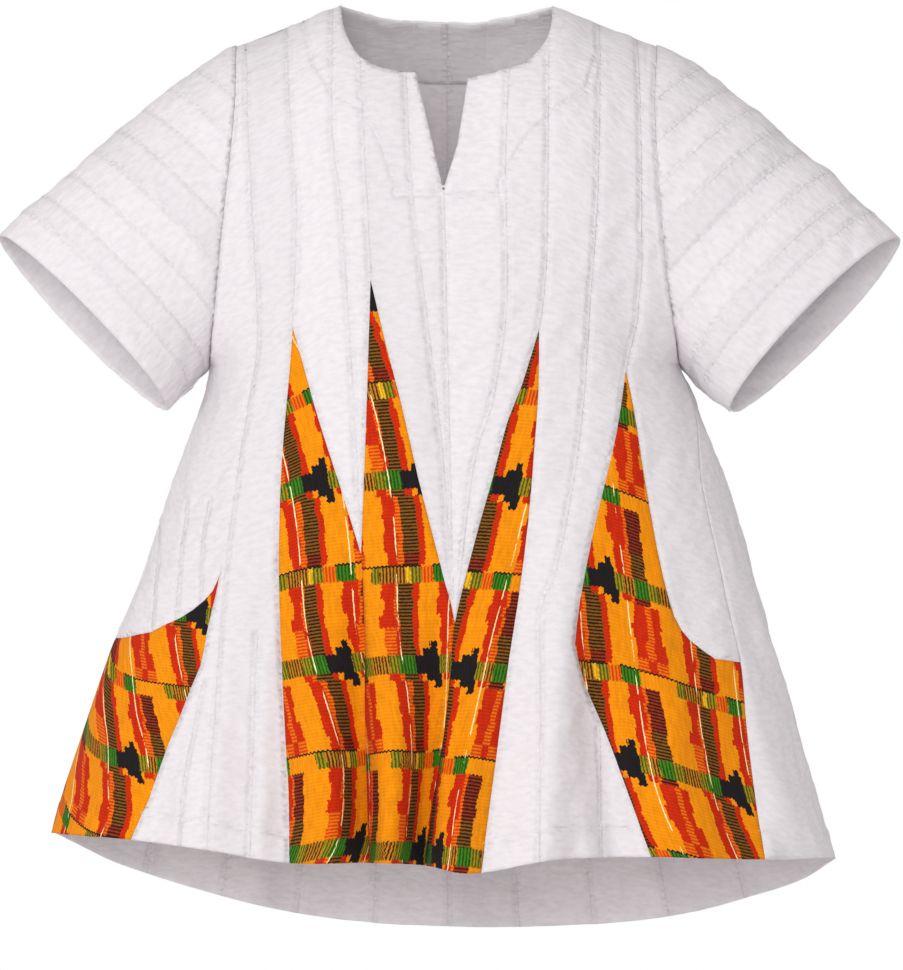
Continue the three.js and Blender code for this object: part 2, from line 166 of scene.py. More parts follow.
def spline(points: Outline, per_span: int = 6) -> np.ndarray:
    """Return a Catmull-Rom curve through points, or fewer than three points as they are.

    Args:
        points: the points.
        per_span: how many steps lead from one to the next.

    Returns:
        The curve's points.
    """
    p = np.array(points, float)
    if len(p) < 3:
        return p
    padded = np.vstack([p[:1], p, p[-1:]])
    t = (np.arange(per_span) / per_span)[:, None]
    spans = []
    for a, b, c, d in zip(padded[:-3], padded[1:-2], padded[2:-1], padded[3:]):
        bend = (2 * a - 5 * b + 4 * c - d) * t**2 + (3 * b - a - 3 * c + d) * t**3
        spans.append(0.5 * (2 * b + (c - a) * t + bend))
    return np.vstack(spans + [p[-1:]])


def inside(points: np.ndarray, outline: np.ndarray) -> np.ndarray:
    """Tell which points lie inside a closed outline.

    Args:
        points: the points.
        outline: the outline's corners.

    Returns:
        True for those inside.
    """
    x, y = points[:, 0], points[:, 1]
    within = np.zeros(len(points), bool)
    for (ax, ay), (bx, by) in zip(outline, np.roll(outline, -1, axis=0)):
        if ay == by:
            continue
        crosses = (ay > y) != (by > y)
        within ^= crosses & (x < ax + (y - ay) * (bx - ax) / (by - ay))
    return within


def beside(line: np.ndarray, distance: float) -> np.ndarray:
    """Return a flat line moved sideways, to the left of its course as x and y are drawn."""
    along = np.gradient(line, axis=0)
    return line + unit(np.stack([-along[:, 1], along[:, 0]], axis=1)) * distance


def nearest(points: np.ndarray, line: np.ndarray) -> tuple[np.ndarray, np.ndarray]:
    """Find the nearest of a line's closely spaced points to each point, on a plane or in space.

    Args:
        points: the points, one row each.
        line: the line's points.

    Returns:
        The numbers of the nearest points, and how far away they are.
    """
    tree = KDTree(len(line))
    for index, place in enumerate(line.tolist()):
        tree.insert((*place, 0.0)[:3], index)
    tree.balance()
    found = [tree.find((*place, 0.0)[:3])[1:] for place in points.tolist()]
    return np.array([index for index, _ in found], int), np.array([away for _, away in found])


def distance_to(points: np.ndarray, line: np.ndarray) -> np.ndarray:
    """Return each point's distance to the nearest of a line's closely spaced points."""
    return nearest(points, line)[1]


def new_object(name: str, data: bpy.types.ID) -> bpy.types.Object:
    """Return a new object in the scene.

    Args:
        name: its name.
        data: its mesh, light or camera.

    Returns:
        The object.
    """
    made = bpy.data.objects.new(name, data)
    bpy.context.collection.objects.link(made)
    return made


# ---------------------------------------------------------------- finishes

Material = bpy.types.Material
Socket = bpy.types.NodeSocket
Colour = tuple[float, float, float, float]


def linear(hex_colour: str) -> Colour:
    """Turn an sRGB hex colour into the linear one that a shader takes."""
    parts = [int(hex_colour[i : i + 2], 16) / 255 for i in (1, 3, 5)]
    red, green, blue = (c / 12.92 if c <= 0.04045 else ((c + 0.055) / 1.055) ** 2.4 for c in parts)
    return (red, green, blue, 1.0)


def add_node(
    owner: Material | bpy.types.World, kind: str, links: dict | None = None, **settings
) -> bpy.types.Node:
    """Add one node to a material or to the world.

    Args:
        owner: the material or world whose tree takes it.
        kind: the node's type name.
        links: input name or number to the output socket that feeds it, or to the value that it takes.
        **settings: the node's own properties.

    Returns:
        The node.
    """
    made = owner.node_tree.nodes.new(kind)
    for name, value in settings.items():
        setattr(made, name, value)
    for name, value in (links or {}).items():
        if isinstance(value, Socket):
            owner.node_tree.links.new(value, made.inputs[name])
        else:
            made.inputs[name].default_value = value
    return made


def new_material(name: str) -> tuple[Material, bpy.types.Node]:
    """Return an empty node material with its principled shader joined to the output.

    Args:
        name: its name.

    Returns:
        The material and its shader.
    """
    material = bpy.data.materials.new(name)
    material.use_nodes = True
    material.node_tree.nodes.clear()
    shader = add_node(material, "ShaderNodeBsdfPrincipled")
    add_node(material, "ShaderNodeOutputMaterial", {"Surface": shader.outputs["BSDF"]})
    return material, shader


@dataclass(frozen=True)
class CrinkledCotton:
    """Thin white cotton, plain woven and crinkled: soft, matt, full of small cross ripples."""

    name: str = "crinkled_cotton"
    colour: str = "#F4F0F2"
    # painted shade: a darker white drawn into the crinkles' hollows
    hollow_shade_colour: str = "#EDE9EC"
    # painted shade: a darker line drawn along each seam's groove, shown more in some patches than others
    seam_shade_colour: str = "#E2DEE1"
    seam_mm: float = 1.3  # how far from a seam its groove reaches
    seam_depth_mm: float = 0.35
    seam_patch_mm: float = 34.0  # a seam shows and fades over this length
    seam_shows: tuple[float, float] = (0.1, 0.9)  # how much of a seam shows, at least and at most
    thread_mm: float = 1.3  # real threads are 0.4 mm apart, drawn coarser so that they show
    thread_length: float = 9.0  # of a slub in the threads, counted in threads
    thread_height_mm: float = 0.11
    ripple_mm: float = 4.2  # height of one crinkle along a strip
    ripple_width_mm: float = 9.0
    ripple_height_mm: float = 0.9
    gather_mm: tuple[float, float] = (7.5, 3.6)  # width and height of the small gathers beside the stitches
    gather_height_mm: float = 2.2
    gather_start_mm: float = 1.0
    gather_reach_mm: float = 6.5
    strip_tone: float = 0.08  # how much the strips and threads differ in brightness
    slub_share: float = 0.8  # of the threads in that difference, against 1 for the strips
    roughness: float = 0.92
    sheen: float = 0.15
    specular: float = 0.2
    shine_through: float = 0.25  # share of the light that goes through one face of the thin cloth

    def build(self) -> Material:
        """Return the material. It reads the flat cloth's map, in metres, and each strip's own number."""
        m, shader = new_material(self.name)
        flat = add_node(m, "ShaderNodeUVMap", uv_map="flat").outputs["UV"]
        strip = add_node(m, "ShaderNodeAttribute", attribute_name="strip").outputs["Fac"]
        seam = add_node(m, "ShaderNodeAttribute", attribute_name="seam").outputs["Fac"]
        apart = add_node(m, "ShaderNodeCombineXYZ", {"Z": strip}).outputs["Vector"]
        patterns = []
        for wide, high, start, detail, rough in (
            (self.ripple_width_mm, self.ripple_mm, apart, 1.5, 0.45),
            (self.thread_mm, self.thread_mm * self.thread_length, (0.0, 0.0, 0.0), 2.0, 0.5),
            (*self.gather_mm, apart, 1.0, 0.5),
        ):
            links = {0: flat, 1: (1 / (wide * MM), 1 / (high * MM), 0.0), 2: start}
            at = add_node(m, "ShaderNodeVectorMath", links, operation="MULTIPLY_ADD").outputs["Vector"]
            links = {"Vector": at, "Scale": 1.0, "Detail": detail, "Roughness": rough}
            patterns.append(add_node(m, "ShaderNodeTexNoise", links).outputs["Fac"])
        ripples, slubs, gathers = patterns
        bands = []
        for start, end in ((0.0, self.seam_mm), (self.gather_start_mm, self.gather_reach_mm)):
            links = {"Value": seam, "From Min": start, "From Max": end, "To Min": 1.0, "To Max": 0.0}
            band = add_node(m, "ShaderNodeMapRange", links, interpolation_type="SMOOTHSTEP")
            bands.append(band.outputs["Result"])
        near_seam, stitched = bands
        gathered = add_node(m, "ShaderNodeMath", {0: gathers, 1: stitched}, operation="MULTIPLY")
        normal = None
        for height, tall_mm, inward in (
            (near_seam, self.seam_depth_mm, True),
            (ripples, self.ripple_height_mm, False),
            (gathered.outputs["Value"], self.gather_height_mm, False),
            (slubs, self.thread_height_mm, False),
        ):
            links = {"Height": height, "Distance": tall_mm * MM, "Strength": 1.0}
            if normal is not None:
                links["Normal"] = normal
            normal = add_node(m, "ShaderNodeBump", links, invert=inward).outputs["Normal"]
        colour = self._colour(m, flat, strip, ripples, slubs, near_seam)
        m.node_tree.links.new(colour, shader.inputs["Base Color"])
        m.node_tree.links.new(normal, shader.inputs["Normal"])
        shader.inputs["Roughness"].default_value = self.roughness
        shader.inputs["Sheen Weight"].default_value = self.sheen
        shader.inputs["Specular IOR Level"].default_value = self.specular
        through = add_node(m, "ShaderNodeBsdfTranslucent", {"Color": colour, "Normal": normal})
        links = {0: self.shine_through, 1: shader.outputs["BSDF"], 2: through.outputs["BSDF"]}
        both = add_node(m, "ShaderNodeMixShader", links)
        output = next(node for node in m.node_tree.nodes if node.type == "OUTPUT_MATERIAL")
        m.node_tree.links.new(both.outputs[0], output.inputs["Surface"])
        return m

    def _colour(
        self, m: Material, flat: Socket, strip: Socket, ripples: Socket, slubs: Socket, near_seam: Socket
    ) -> Socket:
        """Return the cloth's colour, with painted shade in the crinkles' hollows and along the seams.

        Args:
            m: the material.
            flat: the flat cloth's map.
            strip: each strip's own number.
            ripples: height of the crinkles, from 0 to 1.
            slubs: thickness of the threads, from 0 to 1.
            near_seam: 1 on a seam and 0 away from it.

        Returns:
            The colour's socket.
        """
        own = add_node(m, "ShaderNodeTexWhiteNoise", {"W": strip}, noise_dimensions="1D").outputs["Value"]
        links = {0: slubs, 1: self.slub_share, 2: own}
        mixed = add_node(m, "ShaderNodeMath", links, operation="MULTIPLY_ADD").outputs["Value"]
        links = {"Vector": flat, "Scale": 1 / (self.seam_patch_mm * MM), "Detail": 0.0}
        patches = add_node(m, "ShaderNodeTexNoise", links).outputs["Fac"]
        shares = []
        for value, start, end, low, high in (
            (ripples, 0.3, 0.62, 0.0, 1.0),
            (mixed, 0.2, 1.6, 1.0 - self.strip_tone, 1.0),
            (patches, 0.38, 0.62, *self.seam_shows),
        ):
            links = {"Value": value, "From Min": start, "From Max": end, "To Min": low, "To Max": high}
            shares.append(add_node(m, "ShaderNodeMapRange", links).outputs["Result"])
        tone, strength, showing = shares
        # painted shade: where the crinkles' relief is low, the colour goes to the darker white of the hollows
        links = {0: tone, 6: linear(self.hollow_shade_colour), 7: linear(self.colour)}
        shade = add_node(m, "ShaderNodeMix", links, data_type="RGBA").outputs[2]
        dimmed = add_node(m, "ShaderNodeVectorMath", {0: shade, "Scale": strength}, operation="SCALE")
        # painted shade: the darker line along the seams' grooves, stronger in some patches than in others
        seam_shade_share = add_node(m, "ShaderNodeMath", {0: near_seam, 1: showing}, operation="MULTIPLY")
        links = {0: seam_shade_share.outputs["Value"], 6: dimmed.outputs["Vector"], 7: linear(self.seam_shade_colour)}
        return add_node(m, "ShaderNodeMix", links, data_type="RGBA").outputs[2]


class Ink(Enum):
    """The inks of the print: the colour on the drawn threads and the one between them."""

    ORANGE = ("#EC8E06", "#E48605")
    RED = ("#C62A06", "#B82404")
    MOTTLED = ("#CE3808", "#DE7408")
    BLACK = ("#1F1B1D", "#1A1718")
    GREEN = ("#387C16", "#264A10")
    LIME = ("#9C8416", "#42520F")
    LADDER = ("#261A10", "#805012")
    MAROON = ("#34120E", "#8C3014")
    COMB = ("#452810", "#BC7C16")
    YELLOW = ("#EEB41E", "#CC9A18")


@dataclass(frozen=True)
class PrintRow:
    """One row of the print's repeat.

    Attributes:
        height: in mm.
        cells: widths in mm and inks.
        upright: whether its drawn threads run down instead of across.
    """

    height: float
    cells: tuple[tuple[float, Ink], ...]
    upright: bool = False


O, R, M, K, G = Ink.ORANGE, Ink.RED, Ink.MOTTLED, Ink.BLACK, Ink.GREEN
L, D, V, C, Y = Ink.LIME, Ink.LADDER, Ink.MAROON, Ink.COMB, Ink.YELLOW

# The chart of the print, from the top down: a block of columns, the bold band with its black steps above and
# below it, a second block, and the combed band under a thin dark line. Each row is 104 mm wide.
PRINT_CHART = (
    PrintRow(13, ((25, O), (12, R), (3, M), (12, D), (5, R), (18, O), (13, R), (3, M), (13, V))),
    PrintRow(15, ((27, O), (9, R), (4, M), (12, D), (5, R), (16, O), (15, R), (3, M), (13, V))),
    PrintRow(11, ((23, O), (14, R), (3, M), (12, D), (5, R), (19, O), (12, R), (3, M), (13, V))),
    PrintRow(12, ((26, O), (10, M), (4, R), (12, D), (5, R), (18, O), (9, R), (7, M), (13, D))),
    PrintRow(
        6, ((26, O), (10, M), (4, R), (12, D), (5, R), (10, O), (6, K), (4, O), (7, R), (7, M), (13, D))
    ),
    PrintRow(
        6, ((26, O), (10, M), (4, R), (12, D), (5, R), (3, O), (14, K), (3, O), (7, R), (7, M), (13, D))
    ),
    PrintRow(16, ((9, L), (18, C), (8, L), (15, G), (24, K), (8, L), (10, C), (12, G)), upright=True),
    PrintRow(
        6, ((26, O), (8, R), (4, M), (14, D), (5, R), (5, O), (14, K), (3, O), (9, R), (3, M), (13, V))
    ),
    PrintRow(
        6, ((8, R), (21, O), (11, R), (5, M), (13, D), (5, R), (6, O), (7, K), (12, O), (11, R), (5, M))
    ),
    PrintRow(13, ((8, R), (21, O), (11, R), (5, M), (13, D), (5, R), (25, O), (11, R), (5, M))),
    PrintRow(13, ((6, R), (24, O), (9, R), (6, M), (13, D), (5, R), (22, O), (14, R), (5, M))),
    PrintRow(17, ((10, R), (19, O), (12, R), (4, M), (13, D), (5, R), (25, O), (9, R), (7, M))),
    PrintRow(11, ((10, M), (21, O), (9, R), (5, M), (13, V), (5, R), (24, O), (10, M), (7, R))),
    PrintRow(1.6, ((60, K), (10, O), (34, K))),
    PrintRow(14, ((16, O), (8, L), (22, C), (4, Y), (9, L), (12, M), (16, G), (17, O)), upright=True),
)


@dataclass(frozen=True)
class KentePrint:
    """Plain cotton screen-printed with a woven-strip pattern: clean inks, a little ragged at each edge."""

    name: str = "kente_print_cotton"
    thread_mm: float = 3.0  # the pattern's drawn threads, seen as fine cross lines
    thread_shares: tuple[float, float] = (0.14, 0.34)  # half widths of the thinnest and thickest drawn thread
    thread_grain: float = 260.0  # how finely the drawn threads' widths change
    bleed_mm: float = 0.5  # how far an ink's edge wanders
    bleed_per_m: float = 420.0
    # how far the inks' borders are moved sideways, in cells so wide and so high
    steps: tuple[tuple[float, float, float], ...] = ((1.0, 13.0, 8.3), (0.5, 7.0, 1.5))
    tooth_mm: float = 1.9  # half the width of a tooth of the cross edges
    tooth_share: float = 0.8  # height of a tooth, as a share of that
    streaks_per_m: tuple[float, float] = (330.0, 75.0)
    fading: tuple[float, float] = (0.8, 1.08)  # brightness of the palest and the darkest streak
    pale_lines_mm: tuple[float, ...] = (37.4, 82.0)  # thin lines of bare cloth that run down the whole print
    pale_line_mm: float = 0.5  # half the width of one
    pale_colour: str = "#FFE9AE"
    worn_per_m: tuple[float, float] = (240.0, 34.0)
    worn_share: float = 0.47  # of the pale lines that is worn away
    weave_per_m: tuple[float, float] = (900.0, 900.0)
    weave_height_mm: float = 0.08
    roughness: float = 0.88
    sheen: float = 0.02
    specular: float = 0.12

    def build(self) -> Material:
        """Return the material. It reads the flat cloth's map, in metres."""
        m, shader = new_material(self.name)
        width = sum(cell[0] for cell in PRINT_CHART[0].cells)
        height = sum(row.height for row in PRINT_CHART)
        flat = add_node(m, "ShaderNodeUVMap", uv_map="flat").outputs["UV"]
        links = {"Vector": flat, "Scale": self.bleed_per_m, "Detail": 1.0}
        wander = add_node(m, "ShaderNodeTexNoise", links, noise_dimensions="2D").outputs["Color"]
        bleed = 2 * self.bleed_mm * MM
        links = {0: wander, 1: (bleed, bleed, 0.0), 2: flat}
        shifted = add_node(m, "ShaderNodeVectorMath", links, operation="MULTIPLY_ADD").outputs["Vector"]
        at = add_node(m, "ShaderNodeSeparateXYZ", {"Vector": shifted})
        links = {0: at.outputs["X"], 1: self.tooth_mm * MM}
        tooth = add_node(m, "ShaderNodeMath", links, operation="PINGPONG").outputs["Value"]
        links = {0: tooth, 1: self.tooth_share, 2: at.outputs["Y"]}
        down = add_node(m, "ShaderNodeMath", links, operation="MULTIPLY_ADD").outputs["Value"]
        across = self._stepped(m, flat, at.outputs["X"])
        patterns = []
        for per_m, detail, rough in (
            (self.streaks_per_m, 4.0, 0.6),
            (self.worn_per_m, 2.0, 0.5),
            (self.weave_per_m, 2.0, 0.5),
        ):
            links = {0: flat, 1: (*per_m, 0.0)}
            place = add_node(m, "ShaderNodeVectorMath", links, operation="MULTIPLY").outputs["Vector"]
            links = {"Vector": place, "Scale": 1.0, "Detail": detail, "Roughness": rough}
            patterns.append(add_node(m, "ShaderNodeTexNoise", links).outputs["Fac"])
        streaks, worn, weave = patterns
        threads = [self._threads(m, at.outputs[axis]) for axis in ("Y", "X")]
        inked = self._chart(m, self._share(m, across, width), self._share(m, down, height), threads, height)
        inked = self._pale_lines(m, worn, self._share(m, at.outputs["X"], width), width, inked)
        low, high = self.fading
        links = {"Value": streaks, "From Min": 0.3, "From Max": 0.7, "To Min": low, "To Max": high}
        fade = add_node(m, "ShaderNodeMapRange", links).outputs["Result"]
        faded = add_node(m, "ShaderNodeVectorMath", {0: inked, "Scale": fade}, operation="SCALE")
        links = {"Height": weave, "Distance": self.weave_height_mm * MM, "Strength": 1.0}
        normal = add_node(m, "ShaderNodeBump", links).outputs["Normal"]
        m.node_tree.links.new(faded.outputs["Vector"], shader.inputs["Base Color"])
        m.node_tree.links.new(normal, shader.inputs["Normal"])
        shader.inputs["Roughness"].default_value = self.roughness
        shader.inputs["Sheen Weight"].default_value = self.sheen
        shader.inputs["Specular IOR Level"].default_value = self.specular
        return m

    def _stepped(self, m: Material, flat: Socket, across: Socket) -> Socket:
        """Return the length across the print, moved a little sideways from one small cell to the next.

        Args:
            m: the material.
            flat: the flat cloth's map.
            across: the length across, in metres.

        Returns:
            The moved length.
        """
        for sideways, wide, high in self.steps:
            links = {0: flat, 1: (1 / (wide * MM), 1 / (high * MM), 0.0)}
            place = add_node(m, "ShaderNodeVectorMath", links, operation="MULTIPLY").outputs["Vector"]
            cell = add_node(m, "ShaderNodeVectorMath", {0: place}, operation="FLOOR").outputs["Vector"]
            random = add_node(m, "ShaderNodeTexWhiteNoise", {"Vector": cell}, noise_dimensions="2D")
            links = {0: random.outputs["Value"], 1: 2 * sideways * MM, 2: across}
            across = add_node(m, "ShaderNodeMath", links, operation="MULTIPLY_ADD").outputs["Value"]
        return across

    def _threads(self, m: Material, along: Socket) -> Socket:
        """Return 1 on the print's drawn threads and 0 between them, for threads that follow each other.

        Args:
            m: the material.
            along: the length over which they follow, in metres.

        Returns:
            The share's socket.
        """
        links = {0: along, 1: self.thread_mm * MM / 2}
        wave = add_node(m, "ShaderNodeMath", links, operation="PINGPONG").outputs["Value"]
        uneven = add_node(m, "ShaderNodeTexNoise", {"Scale": self.thread_grain, "Detail": 1.0}).outputs["Fac"]
        thin, thick = (share * self.thread_mm * MM for share in self.thread_shares)
        links = {"Value": uneven, "From Min": 0.3, "From Max": 0.7, "To Min": thin, "To Max": thick}
        width = add_node(m, "ShaderNodeMapRange", links).outputs["Result"]
        return add_node(m, "ShaderNodeMath", {0: wave, 1: width}, operation="LESS_THAN").outputs["Value"]

    def _pale_lines(
        self, m: Material, worn: Socket, share: Socket, period_mm: float, inked: Socket
    ) -> Socket:
        """Return the inked colour with the print's thin pale lines laid over it, worn away in places.

        Args:
            m: the material.
            worn: noise from 0 to 1, low where the lines are worn away.
            share: share of the way across one repeat.
            period_mm: width of one repeat.
            inked: the colour below the lines.

        Returns:
            The colour's socket.
        """
        links = {0: worn, 1: self.worn_share}
        left = add_node(m, "ShaderNodeMath", links, operation="GREATER_THAN").outputs["Value"]
        for place in self.pale_lines_mm:
            links = {0: share, 1: place / period_mm, 2: self.pale_line_mm / period_mm}
            line = add_node(m, "ShaderNodeMath", links, operation="COMPARE").outputs["Value"]
            shown = add_node(m, "ShaderNodeMath", {0: line, 1: left}, operation="MULTIPLY").outputs["Value"]
            links = {0: shown, 6: inked, 7: linear(self.pale_colour)}
            inked = add_node(m, "ShaderNodeMix", links, data_type="RGBA").outputs[2]
        return inked

    @staticmethod
    def _share(m: Material, metres: Socket, period_mm: float) -> Socket:
        """Return how far along one repeat a length lies, from 0 to 1."""
        links = {0: metres, 1: period_mm * MM}
        turns = add_node(m, "ShaderNodeMath", links, operation="DIVIDE").outputs["Value"]
        return add_node(m, "ShaderNodeMath", {0: turns}, operation="FRACT").outputs["Value"]

    def _chart(
        self, m: Material, across: Socket, down: Socket, threads: list[Socket], height: float
    ) -> Socket:
        """Return the colour of the chart at a place.

        Args:
            m: the material.
            across: share of the way across one repeat.
            down: share of the way down one repeat.
            threads: 1 on the drawn threads and 0 between them, for threads that run across and down.
            height: the repeat's height in mm.

        Returns:
            The colour's socket.
        """
        colour = None
        below = 0.0
        for row in PRINT_CHART:
            shades = [self._ramp(m, across, row, which) for which in (0, 1)]
            links = {0: threads[1 if row.upright else 0], 6: shades[0], 7: shades[1]}
            here = add_node(m, "ShaderNodeMix", links, data_type="RGBA").outputs[2]
            if colour is None:
                colour = here
            else:
                links = {0: down, 1: below / height}
                past = add_node(m, "ShaderNodeMath", links, operation="GREATER_THAN").outputs["Value"]
                links = {0: past, 6: colour, 7: here}
                colour = add_node(m, "ShaderNodeMix", links, data_type="RGBA").outputs[2]
            below += row.height
        return colour

    @staticmethod
    def _ramp(m: Material, across: Socket, row: PrintRow, which: int) -> Socket:
        """Return one row's colours, the first or the second of each ink.

        Args:
            m: the material.
            across: share of the way across one repeat.
            row: the row.
            which: 0 for the first colours and 1 for the second.

        Returns:
            The colour's socket.
        """
        ramp = add_node(m, "ShaderNodeValToRGB", {"Fac": across})
        ramp.color_ramp.interpolation = "CONSTANT"
        total = sum(cell[0] for cell in row.cells)
        start = 0.0
        for index, (width, ink) in enumerate(row.cells):
            stops = ramp.color_ramp.elements
            stop = stops[0] if index == 0 else stops.new(start / total)
            stop.position = start / total
            stop.color = linear(ink.value[which])
            start += width
        ramp.color_ramp.elements.remove(ramp.color_ramp.elements[-1])
        return ramp.outputs["Color"]


def sewing_thread(name: str, colour: str) -> Material:
    """Return a matt polyester thread.

    Args:
        name: its name.
        colour: sRGB hex colour.

    Returns:
        The material.
    """
    material, shader = new_material(name)
    shader.inputs["Base Color"].default_value = linear(colour)
    shader.inputs["Roughness"].default_value = 0.7
    return material


@dataclass
class Finishes:
    """The smock's materials."""

    cotton: Material
    kente: Material
    thread: Material
    shade_tack_thread: Material


# ---------------------------------------------------------------- the body's form


@dataclass(frozen=True)
class Fold:
    """One ridge or valley that runs down the cloth, in mm, seen from the front.

    Attributes:
        top: where it begins, as x and z.
        hem: where it meets the hem.
        to_right: how far it spreads towards -X at the hem.
        to_left: how far it spreads towards +X at the hem.
        height: how far it stands out, or in where that is negative.
    """

    top: tuple[float, float]
    hem: tuple[float, float]
    to_right: float
    to_left: float
    height: float


FRONT_FOLDS = (
    Fold((-246, -540), (-306, -735), 30, 34, 7),
    Fold((-172, -330), (-212, -744), 46, 44, 13),
    Fold((-144, -380), (-137, -755), 26, 18, -11),
    Fold((-126, -380), (-100, -755), 30, 28, 11),
    Fold((-80, -430), (-66, -755), 32, 14, -28),
    Fold((-60, -350), (-42, -756), 22, 26, 11),
    Fold((2, -480), (-20, -757), 36, 13, -36),
    Fold((54, -390), (4, -764), 16, 34, 13),
    Fold((122, -330), (78, -753), 44, 36, 17),
    Fold((108, -490), (146, -750), 30, 30, -22),
    Fold((168, -420), (212, -751), 44, 40, 13),
)
BACK_FOLDS = (
    Fold((-190, -420), (-262, -766), 40, 44, 12),
    Fold((-120, -470), (-176, -791), 38, 34, -13),
    Fold((-62, -380), (-92, -806), 48, 44, 15),
    Fold((4, -490), (2, -813), 40, 42, -14),
    Fold((66, -420), (98, -812), 42, 46, 13),
    Fold((122, -510), (184, -804), 36, 34, -12),
    Fold((186, -440), (256, -790), 44, 40, 12),
)


@dataclass(frozen=True)
class Level:
    """Half widths and depths of the body at one height, in mm."""

    z: float
    right: float
    left: float
    front: float
    back: float


BODY_LEVELS = (
    Level(0, 186, 186, 84, 74),
    Level(-40, 185, 184, 92, 82),
    Level(-100, 185, 181, 103, 92),
    Level(-200, 195, 187, 118, 99),
    Level(-310, 207, 202, 125, 101),
    Level(-345, 214, 217, 126, 103),
    Level(-420, 241, 245, 129, 109),
    Level(-500, 267, 271, 136, 119),
    Level(-568, 295, 288, 144, 128),
    Level(-650, 323, 311, 155, 140),
    Level(-700, 339, 326, 162, 146),
    Level(-752, 352, 343, 168, 152),
)


